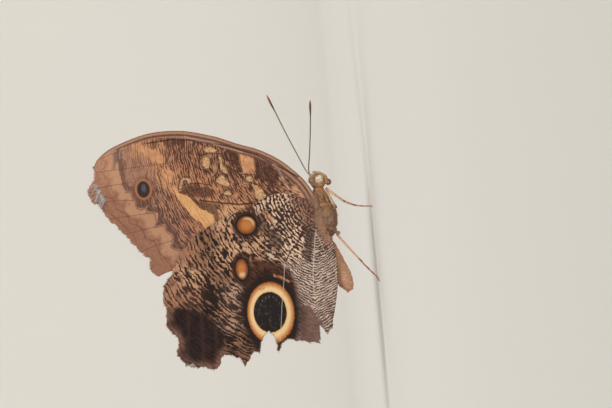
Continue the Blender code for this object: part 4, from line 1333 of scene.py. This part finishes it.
def tufts(pile, root, normal, lie, length, width, lift, colour, uv, levels=(0.0, 0.42, 0.76)):
    """Flat-lying tapered locks: one for each root, thickest in the middle."""
    normal = unit(normal)
    lie = unit(lie - normal * (lie * normal).sum(axis=1, keepdims=True))
    across = np.cross(normal, lie)
    sway = RANDOM.normal(0.0, 0.12, len(root))[:, None]
    rows, tints_shaded_at_root, patches = [], [], []
    for level in levels + (1.0,):
        rise = lift * (level - 0.62 * level * level)
        centre = (root - normal * 0.06 + lie * (length * level)[:, None]
                  + normal * (length * rise)[:, None] + across * sway * (length * level * level)[:, None])
        bulge = 0.5 + 0.5 * math.sin(math.pi * min(level + 0.12, 1.0))
        half = (width * bulge * (1.0 - level ** 3))[:, None]
        # Each lock is painted darker at its root, where it lies under the others, and lighter towards its
        # tip: painted shade at the root and painted light on the tip.
        shade = colour * (0.72 + 0.4 * level)
        if level == 1.0:
            corners = [centre]
        else:
            corners = [centre - across * half, centre + across * half, centre + normal * half * 0.8]
        for index, corner in enumerate(corners):
            rows.append(corner)
            tints_shaded_at_root.append(with_alpha(np.clip(shade, 0.0, 1.0)))
            patches.append(uv + np.array((TUFT_PATCH * level, TUFT_PATCH * 0.5 * index)))
    size = len(rows)
    points = np.stack(rows, axis=1).reshape(-1, 3)
    triangles = []
    for ring in range(len(levels)):
        low = ring * 3
        for step in range(3):
            after = (step + 1) % 3
            if ring == len(levels) - 1:
                triangles.append((low + step, low + after, size - 1))
            else:
                triangles.append((low + step, low + after, low + 3 + after))
                triangles.append((low + step, low + 3 + after, low + 3 + step))
    triangles = np.array(triangles)[None, :, :] + (np.arange(len(root)) * size)[:, None, None]
    pile.add(points, triangles.reshape(-1, 3), tint=np.stack(tints_shaded_at_root, axis=1).reshape(-1, 4),
             uv=np.clip(np.stack(patches, axis=1).reshape(-1, 2), 0.0, 1.0))


def body_colour(x, back_share, jitter):
    """Colour of skin and coat at a place along the body and from belly to back."""
    total = np.zeros(len(x))
    colour = np.zeros((len(x), 3))
    for place_x, place_back, reach, tone in BODY_COLOURS:
        share = np.exp(-((x - place_x) / reach) ** 2 - ((back_share - place_back) / 0.33) ** 2) + 1e-9
        total += share
        colour += share[:, None] * linear(tone)
    return colour / total[:, None] * (1.0 + jitter)[:, None]


def skin_grid():
    """Rings of the skin from abdomen tip to face, with the unwrap of each point."""
    table = np.array(SKIN_SECTIONS)
    fine_x = np.linspace(table[0, 0], table[-1, 0], SKIN_SAMPLES)
    columns = [np.interp(fine_x, table[:, 0], column) for column in table[:, 1:].T]
    window = np.hanning(SKIN_SMOOTHING)
    window /= window.sum()
    margin = SKIN_SMOOTHING // 2
    columns = [np.convolve(np.pad(column, margin, "edge"), window, "valid") for column in columns]
    middle, half_width, half_height, lean = columns
    round_head = np.sqrt(np.clip(1.0 - ((fine_x - HEAD_CENTRE[0]) / HEAD_SEMI_AXES[0]) ** 2, 0.0, 1.0))
    half_width = np.maximum(half_width, round_head * HEAD_SEMI_AXES[1])
    half_height = np.maximum(half_height, round_head * HEAD_SEMI_AXES[2])
    inside_head = fine_x <= HEAD_CENTRE[0] + HEAD_SEMI_AXES[0]
    fine_x, middle, half_width, half_height, lean = (
        column[inside_head] for column in (fine_x, middle, half_width, half_height, lean))
    pinch = np.zeros(len(fine_x))
    for depth, reach, joints in PINCHES:
        for joint in joints:
            pinch += depth * np.exp(-((fine_x - joint) / reach) ** 2)
    travel = np.concatenate(([0.0], np.cumsum(np.hypot(np.diff(fine_x), np.diff(half_height)))))
    wanted = np.linspace(0.0, travel[-1], SKIN_RINGS)
    x, middle, half_width, half_height, lean, pinch = (
        np.interp(wanted, travel, column)
        for column in (fine_x, middle, half_width, half_height, lean, pinch))
    angles = np.linspace(0.0, 2.0 * math.pi, SKIN_SIDES + 1) - math.pi / 2
    side = np.cos(angles)[None, :] * (half_width * (1.0 - pinch))[:, None]
    height = np.sin(angles)[None, :] * (half_height * (1.0 - pinch))[:, None]
    place_x = x[:, None] + lean[:, None] * height
    points = np.stack((place_x, side, middle[:, None] + height), axis=2)
    unwrap = np.stack(np.broadcast_arrays((np.arange(SKIN_SIDES + 1) / SKIN_SIDES)[None, :],
                                          (wanted / travel[-1])[:, None]), axis=2)
    return points, unwrap * 0.94 + 0.03


def skin_material():
    graph = Graph("body_skin")
    coordinates = graph.object_place()
    grain = graph.noise(coordinates, 900.0, 4.0)
    graph.bump(grain, 0.5, 0.0002)
    return graph.finish(graph.shade(graph.colour("tint"), grain, 0.7, 1.1), 0.85)


def coat_material(name):
    graph = Graph(name)
    coordinates = graph.object_place()
    grain = graph.noise(coordinates, 1500.0, 2.0)
    return graph.finish(graph.shade(graph.colour("tint"), grain, 0.85, 1.15), 0.6,
                        Sheen_Weight=0.25, Sheen_Roughness=0.4, Specular_IOR_Level=0.3)


def build_body():
    grid, unwrap = skin_grid()
    flow = unit(np.gradient(grid, axis=0))
    normal = unit(np.cross(np.gradient(grid, axis=1), np.gradient(grid, axis=0)))
    centre = grid.mean(axis=1, keepdims=True)
    outward = np.sign((normal * (grid - centre)).sum(axis=2, keepdims=True))
    normal = normal * np.where(outward == 0.0, 1.0, outward)
    low_z = grid[:, :, 2].min(axis=1, keepdims=True)
    high_z = grid[:, :, 2].max(axis=1, keepdims=True)
    back_share = (grid[:, :, 2] - low_z) / np.maximum(high_z - low_z, 1e-6)
    build_skin(grid, unwrap, back_share)
    sample_coats(grid, unwrap, normal, flow, back_share)


def build_skin(grid, unwrap, back_share):
    rings, columns = grid.shape[:2]
    sides = columns - 1
    points = grid[:, :-1].reshape(-1, 3)
    share = back_share[:, :-1].ravel()
    tint = body_colour(points[:, 0], share, value_noise(points[:, (0, 2)], 1.4) * 0.25)
    corner_uv, triangles = [], []
    for ring in range(rings - 1):
        for step in range(sides):
            after = (step + 1) % sides
            low, high = ring * sides, (ring + 1) * sides
            triangles.append((low + step, high + step, high + after))
            triangles.append((low + step, high + after, low + after))
            near, far = unwrap[ring], unwrap[ring + 1]
            corner_uv += [near[step], far[step], far[step + 1], near[step], far[step + 1], near[step + 1]]
    caps = np.array((grid[0, :-1].mean(axis=0), grid[-1, :-1].mean(axis=0)))
    tail, face = len(points), len(points) + 1
    last = (rings - 1) * sides
    for step in range(sides):
        after = (step + 1) % sides
        triangles.append((tail, step, after))
        corner_uv += [unwrap[0, step] - (0.0, 0.01), unwrap[0, step], unwrap[0, step + 1]]
        triangles.append((face, last + after, last + step))
        corner_uv += [unwrap[-1, step] + (0.0, 0.01), unwrap[-1, step + 1], unwrap[-1, step]]
    tint = np.vstack((tint, tint[0], tint[-1]))
    triangles = np.array(triangles)[:, ::-1]
    corner_uv = np.array(corner_uv).reshape(-1, 3, 2)[:, ::-1].reshape(-1, 2)
    pile = Pile()
    pile.add(np.vstack((points, caps)), triangles, tint=with_alpha(tint))
    made = pile.build("body_skin", skin_material(), corner_uv)
    finish_piece(made, "thorax", "head", "thorax", "abdomen")


def near_eye(points):
    """Whether each point is on an eye or at its rim."""
    one_side = np.column_stack((points[:, 0], np.abs(points[:, 1]), points[:, 2]))
    return np.linalg.norm(one_side - np.asarray(EYE_CENTRE), axis=1) < EYE_RADIUS + 0.08


def between_rows(field, ring, column, along, around):
    """Values of a grid field at places between its points."""
    near, far = (field[row, column] + (field[row, column + 1] - field[row, column]) * around[:, None]
                 for row in (ring, ring + 1))
    return near + (far - near) * along[:, None]


def coat_tint(name, root, share):
    """Mottled colours of the locks, with a few grey ones."""
    count = len(root)
    mottle = value_noise(root[:, (0, 2)], 0.9, 5.0) * 0.4 + RANDOM.normal(0.0, 0.2, count)
    mottle = np.clip(mottle, -0.7, 0.8) * (0.45 if name == "coat_abdomen" else 1.0)
    tint = body_colour(root[:, 0], share, mottle)
    grey = (RANDOM.random(count) < 0.1) & (root[:, 0] > 3.0)
    patch = value_noise(root[:, (0, 2)], 0.7, 12.0) + RANDOM.normal(0.0, 0.12, count)
    fore = smooth_step(1.0, 5.0, root[:, 0]) * (1.0 - smooth_step(16.0, 18.0, root[:, 0]))
    for low, high, tone in COAT_PATCHES:
        cover = 0.75 * fore * smooth_step(0.0, 1.0, (patch - low) / (high - low))
        tint += cover[:, None] * (linear(tone) - tint)
    grey_tint = linear(GREY_LOCK) * (0.7 + 0.6 * RANDOM.random(count))[:, None]
    return np.where(grey[:, None], grey_tint, tint)


def sample_coats(grid, unwrap, normal, flow, back_share):
    ring_area = np.linalg.norm(np.diff(grid, axis=1), axis=2).sum(axis=1)
    step_length = np.linalg.norm(np.gradient(grid, axis=0), axis=2).mean(axis=1)
    middle_x = grid[:, :, 0].mean(axis=1)
    for name, slot, first, last, count, shortest, longest, width, lift in COATS:
        chance = ring_area * step_length * ((middle_x >= first) & (middle_x < last))
        chance = chance / chance.sum()
        ring = RANDOM.choice(len(chance), count, p=chance)
        column = RANDOM.integers(0, SKIN_SIDES, count)
        along, around = RANDOM.random(count), RANDOM.random(count)
        ring = np.clip(ring, 0, len(chance) - 2)
        root, facing, ahead, uv, share = (
            between_rows(field, ring, column, along, around)
            for field in (grid, normal, flow, unwrap, back_share[:, :, None]))
        share = share[:, 0]
        hang = np.array((0.0, 0.0, -0.25)) * (1.0 - share)[:, None]
        lie = hang - ahead + RANDOM.normal(0.0, 0.24, (count, 3))
        length = shortest + (longest - shortest) * RANDOM.random(count)
        if name == "coat_head":
            crown = smooth_step(20.0, 21.4, root[:, 0]) * smooth_step(0.1, 0.4, share)
            length = length * (1.0 + 1.1 * crown)
            lie = lie + (1.4 * facing + np.array((1.0, 0.0, 0.25))) * crown[:, None]
        tint = coat_tint(name, root, share)
        keep = ~near_eye(root)
        widths = np.full(keep.sum(), width) * (0.8 + 0.5 * RANDOM.random(keep.sum()))
        pile = Pile()
        tufts(pile, root[keep], facing[keep], lie[keep], length[keep], widths, lift, tint[keep], uv[keep])
        if name == "coat_thorax":
            add_wing_root_hair(pile)
        finish_piece(pile.build(name, coat_material(name)), slot)


def add_wing_root_hair(pile):
    """Long hair from the thorax side over the roots of the wings."""
    count = ROOT_HAIRS
    for _, side in SIDES:
        x = RANDOM.uniform(1.5, 17.0, count)
        z = np.interp(x, *ROOT_HAIR_HEIGHT) + RANDOM.normal(0.0, 0.45, count)
        y = side * (np.interp(x, *ROOT_HAIR_SIDE) + RANDOM.uniform(-0.1, 0.25, count))
        root = np.column_stack((x, y, z))
        facing = np.tile(np.array((0.0, side, 0.0)), (count, 1))
        lie = np.column_stack(
            (RANDOM.normal(-0.55, 0.3, count), np.zeros(count), RANDOM.normal(0.8, 0.25, count)))
        length = RANDOM.uniform(1.2, 2.9, count)
        tint = body_colour(x, np.full(count, 0.55), RANDOM.normal(0.0, 0.2, count))
        uv = np.column_stack((0.5 + 0.25 * side + 0.01 * (z - 16.0), 0.03 + 0.94 * (x + 15.0) / 38.0))
        tufts(pile, root, facing, lie, length, np.full(count, 0.07), 0.12, tint, uv)


# Eyes, feelers, mouthparts and legs
def eye_material():
    graph = Graph("eye_facets")
    coordinates = graph.object_place()
    facets = graph.tree.nodes.new("ShaderNodeTexVoronoi")
    facets.inputs["Scale"].default_value = 9000.0
    graph.put(coordinates, facets.inputs["Vector"])
    cloud = graph.noise(coordinates, 1400.0, 3.0)
    colour = graph.mix(graph.step(cloud, 0.34, 0.6), (190, 170, 140), (232, 220, 192))
    colour = graph.shade(colour, graph.noise(coordinates, 4000.0, 2.0), 0.85, 1.1)
    graph.bump(facets.outputs["Distance"], 0.25, 0.00005)
    return graph.finish(colour, 0.22, Coat_Weight=0.6, Coat_Roughness=0.12)


def build_eyes():
    material = eye_material()
    angles = np.linspace(0.0, math.pi, EYE_RINGS + 2)[1:-1]
    for label, side in SIDES:
        rows = np.column_stack((
            EYE_CENTRE[0] + 0.0 * angles, side * (EYE_CENTRE[1] - EYE_RADIUS * np.cos(angles)),
            EYE_CENTRE[2] + 0.0 * angles, EYE_RADIUS * np.sin(angles)))
        points, triangles = sweep(rows, EYE_SIDES)
        points[-2] = (EYE_CENTRE[0], side * (EYE_CENTRE[1] - EYE_RADIUS), EYE_CENTRE[2])
        points[-1] = (EYE_CENTRE[0], side * (EYE_CENTRE[1] + EYE_RADIUS), EYE_CENTRE[2])
        pile = Pile()
        pile.add(points, triangles)
        finish_piece(pile.build(f"eye_{label}_globe", material), "eye", f"eye_{label}")


def mirrored(rows, side):
    rows = np.array(rows, dtype=float)
    rows[:, 1] *= side
    return rows


def limb_material(name, roughness, gloss):
    graph = Graph(name)
    coordinates = graph.object_place()
    grain = graph.noise(coordinates, 2200.0, 3.0)
    graph.bump(grain, 0.4, 0.00008)
    return graph.finish(graph.shade(graph.colour("tint"), grain, 0.78, 1.16), roughness,
                        Specular_IOR_Level=gloss)


def tint_along(share, stops):
    """Colour along a limb from stops of share and screen values."""
    places = [stop[0] for stop in stops]
    colours = np.array([linear(stop[1]) for stop in stops])
    return with_alpha(np.column_stack([np.interp(share, places, column) for column in colours.T]))


def build_antennae():
    material = limb_material("antenna_cuticle", 0.5, 0.4)
    for (label, side), points, stops in zip(SIDES, (ANTENNA_RIGHT, ANTENNA_LEFT), ANTENNA_TINTS):
        rows = smooth_path(mirrored(points, side), ANTENNA_SPACING)
        share = np.linspace(0.0, 1.0, len(rows))
        joints = np.sin(share * math.pi * ANTENNA_JOINTS) ** 2
        rows[:, 3] *= 0.86 + 0.2 * joints ** 0.6
        body, triangles = sweep(rows, 12)
        tint = tint_along(sweep_share(rows, 12), stops)
        ring = np.concatenate((np.repeat(joints, 12), (0.0, 0.0)))
        tint[:, :3] *= (0.6 + 0.5 * ring)[:, None]
        pile = Pile()
        pile.add(body, triangles, tint=tint)
        finish_piece(pile.build(f"antenna_{label}_feeler", material), "antenna", f"antenna_{label}")


def build_proboscis():
    steps = 150
    share = np.linspace(0.0, 1.0, steps)
    angle = np.radians(PROBOSCIS_START - share * PROBOSCIS_TURNS * 360.0)
    radius = PROBOSCIS_RADII[1] + (PROBOSCIS_RADII[0] - PROBOSCIS_RADII[1]) * share
    joints = 1.0 + 0.08 * np.sin(share * 260.0)
    rows = np.column_stack((PROBOSCIS_CENTRE[0] + radius * np.cos(angle), np.zeros(steps),
                            PROBOSCIS_CENTRE[1] + radius * np.sin(angle), (0.34 - 0.13 * share) * joints))
    points, triangles = sweep(rows, 14)
    tint = tint_along(sweep_share(rows, 14), PROBOSCIS_TINTS)
    pile = Pile()
    pile.add(points, triangles, tint=tint)
    made = pile.build("proboscis_coil", limb_material("proboscis_cuticle", 0.35, 0.5))
    finish_piece(made, "proboscis", "proboscis")


def tufts_on_limb(pile, rows, count, length, width, lift, stops):
    """Locks lying along a limb, all round it."""
    path = rows[:, :3]
    ahead, across, over_it = path_frames(path)
    index = RANDOM.integers(0, len(rows) - 1, count)
    angle = RANDOM.uniform(-math.pi, math.pi, count)
    facing = across[index] * np.cos(angle)[:, None] + over_it[index] * np.sin(angle)[:, None]
    root = path[index] + facing * (rows[index, 3] * 0.9)[:, None]
    lie = ahead[index] + RANDOM.normal(0.0, 0.12, (count, 3))
    share = index / len(rows)
    tint = tint_along(share, stops)[:, :3] * (1.0 + RANDOM.normal(0.0, 0.16, count))[:, None]
    uv = np.column_stack((0.05 + 0.9 * share, 0.5 + 0.45 * angle / math.pi))
    tufts(pile, root, facing, lie, length * RANDOM.uniform(0.7, 1.2, count), np.full(count, width),
          lift, np.clip(tint, 0.0, 1.0), uv)


def add_limb(pile, rows, sides, stops):
    """Tube coloured along its length, kept above the floor."""
    points, triangles = sweep(rows, sides)
    points[:, 2] = np.maximum(points[:, 2], 0.0)
    share = sweep_share(rows, sides)
    pile.add(points, triangles, tint=tint_along(share, stops),
             uv=np.column_stack((0.05 + 0.9 * share, np.full(len(share), 0.02))))


def build_palps():
    material = coat_material("palp_scales")
    for label, side in SIDES:
        rows = smooth_path(mirrored(PALP, side), 0.12)
        pile = Pile()
        add_limb(pile, rows, 14, PALP_TINTS)
        tufts_on_limb(pile, rows, *PALP_TUFTS, PALP_TINTS)
        finish_piece(pile.build(f"palp_{label}_brush", material), "palp", f"palp_{label}")


def cone(pile, start, end, radius, tint):
    """Small spine or claw."""
    start, end = np.asarray(start), np.asarray(end)
    rows = np.column_stack((np.linspace(start, end, 4), radius * np.array((1.0, 0.75, 0.45, 0.08))))
    points, triangles = sweep(rows, 6)
    pile.add(points, triangles, tint=with_alpha(np.tile(linear(tint), (len(points), 1))),
             uv=np.zeros((len(points), 2)))


def leg_rows(points, start, waist, swell):
    """One leg segment, thickest near its start and flared again at its end."""
    a, b = points[start], points[start + 1]
    share = np.linspace(0.0, 1.0, 22)
    rows = a + (b - a) * share[:, None]
    girth = a[3] + (b[3] - a[3]) * share
    belly = np.exp(-((share - 0.28) / 0.26) ** 2)
    rows[:, 3] = girth * (waist + swell * belly + 0.16 * np.exp(-((share - 0.97) / 0.04) ** 2))
    rows[:, 2] += np.sin(share * math.pi) * 0.12
    return rows


def add_spines(pile, rows, side, count, spacing):
    """Short dark spines along a shin or a joint of the foot."""
    ahead = unit(rows[-1, :3] - rows[0, :3])
    for spine in range(count):
        at = rows[4 + int(spine * spacing), :3]
        lean = np.array((-0.25 if spine % 2 else 0.25, 0.2 * side, -0.35))
        tip = at + ahead * 0.3 + lean * 0.45
        tip[2] = max(tip[2], 0.02)
        cone(pile, at, tip, 0.035, SPINE_COLOUR)


def add_claws_and_spurs(pile, points, side):
    """Two claws at the toe and two spurs at the end of the shin."""
    toe = points[-1, :3]
    ahead = unit(toe - points[-2, :3])
    for turn in (-1.0, 1.0):
        across = np.cross(ahead, (0.0, 0.0, 1.0)) * turn
        tip = toe + ahead * 0.35 + across * 0.18 - (0.0, 0.0, 0.12)
        cone(pile, toe + across * 0.06, tip, 0.05, CLAW_COLOUR)
    heel = points[3, :3]
    ahead = unit(heel - points[2, :3])
    for turn in (-0.18, 0.18):
        cone(pile, heel, heel + ahead * 0.7 + np.array((turn, 0.2 * side, -0.1)), 0.055, SPUR_COLOUR)


def build_walking_leg(kind, points, label, side, material):
    points = mirrored(points, side)
    pale = THIGH_COLOURS[kind]
    thigh = ((0.0, (140, 110, 86)), (0.3, pale), (0.8, pale), (1.0, (140, 98, 72)))
    parts = [(1.0, 0.1, HIP_TINTS), (0.8, 0.35, thigh), (0.78, 0.3, SHIN_TINTS)]
    parts += [(0.8, 0.12, FOOT_TINTS)] * (len(points) - 4)
    pile = Pile()
    for start, (waist, swell, stops) in enumerate(parts):
        rows = leg_rows(points, start, waist, swell)
        if start >= len(points) - 3:
            rows[:, 2] = np.maximum(rows[:, 2], rows[:, 3] * 0.92)
        add_limb(pile, rows, 14, stops)
        if start < 3:
            tufts_on_limb(pile, rows, *LEG_TUFTS[start], stops)
        if start >= 2:
            add_spines(pile, rows, side, *(SHIN_SPINES if start == 2 else FOOT_SPINES))
    add_claws_and_spurs(pile, points, side)
    made = pile.build(f"{kind}_{label}_limb", material)
    finish_piece(made, "leg", f"{kind}_{label}")


def build_foreleg(label, side, material):
    """Short brush-footed foreleg folded against the breast."""
    points = mirrored(FORELEG, side)
    pile = Pile()
    for start in range(len(points) - 1):
        rows = leg_rows(points, start, 0.85, 0.2)
        add_limb(pile, rows, 12, FORELEG_TINTS)
        tufts_on_limb(pile, rows, *FORELEG_TUFTS, FORELEG_TINTS)
    finish_piece(pile.build(f"foreleg_{label}_limb", material), "leg", f"foreleg_{label}")


def build_limbs():
    material = limb_material("leg_cuticle", 0.5, 0.4)
    for label, side in SIDES:
        build_walking_leg("midleg", MIDLEG, label, side, material)
        build_walking_leg("hindleg", HINDLEG, label, side, material)
        build_foreleg(label, side, material)


# Stage, camera and lights
def stage_material():
    graph = Graph("pale_stage")
    coordinates = graph.object_place()
    colour = graph.mix(graph.noise(coordinates, 3.0, 3.0), (226, 223, 217), (220, 217, 211))
    return graph.finish(colour, 0.9, Specular_IOR_Level=0.0)


def build_stage():
    """Round pale floor that sweeps up into a wall all about the insect."""
    turns = np.radians(np.arange(0.0, 91.0, 3.0))
    profile = [(radius, 0.0) for radius in np.linspace(0.05, FLOOR_RADIUS - 0.03, 40)]
    profile += [(FLOOR_RADIUS + SWEEP_RADIUS * math.sin(turn), SWEEP_RADIUS * (1.0 - math.cos(turn)))
                for turn in turns]
    profile.append((FLOOR_RADIUS + SWEEP_RADIUS, BACKDROP_TOP))
    sides = 96
    points = [(0.0, 0.0, 0.0)]
    for radius, height in profile:
        points += [(radius * math.cos(turn), radius * math.sin(turn), height)
                   for turn in np.linspace(0.0, 2.0 * math.pi, sides, endpoint=False)]
    faces = [(0, 1 + step, 1 + (step + 1) % sides) for step in range(sides)]
    for ring in range(len(profile) - 1):
        low, high = 1 + ring * sides, 1 + (ring + 1) * sides
        faces += [(low + step, high + step, high + (step + 1) % sides, low + (step + 1) % sides)
                  for step in range(sides)]
    mesh = bpy.data.meshes.new("floor")
    mesh.from_pydata(points, [], faces)
    mesh.shade_smooth()
    mesh.materials.append(stage_material())
    made = link_object("floor", mesh)


def build_camera():
    data = bpy.data.cameras.new("camera")
    data.sensor_width = SENSOR
    data.lens = SENSOR * -CAMERA_PLACE[1] / FRAME_WIDTH
    camera = link_object("camera", data)
    columns = Matrix((CAMERA_RIGHT, CAMERA_UP, CAMERA_BACK)).transposed()
    camera.matrix_world = Matrix.Translation(CAMERA_PLACE) @ columns.to_4x4()
    bpy.context.scene.camera = camera


def area_light(name, place, size, energy, colour):
    data = bpy.data.lights.new(name, "AREA")
    data.shape = "DISK"
    data.size = size
    data.energy = energy
    data.color = colour
    light = link_object(name, data)
    light.location = place
    light.rotation_euler = (Vector(LIGHT_TARGET) - Vector(place)).to_track_quat("-Z", "Y").to_euler()


def build_lights():
    for light in LIGHTS:
        area_light(*light)
    world = bpy.data.worlds.new("studio")
    world.use_nodes = True
    background = world.node_tree.nodes["Background"]
    background.inputs["Color"].default_value = (*WORLD_COLOUR, 1.0)
    background.inputs["Strength"].default_value = WORLD_STRENGTH
    bpy.context.scene.world = world
    bpy.context.scene.view_settings.view_transform = "Standard"


build_stage()
build_camera()
build_lights()
build_wings()
build_body()
build_eyes()
build_palps()
build_antennae()
build_proboscis()
build_limbs()
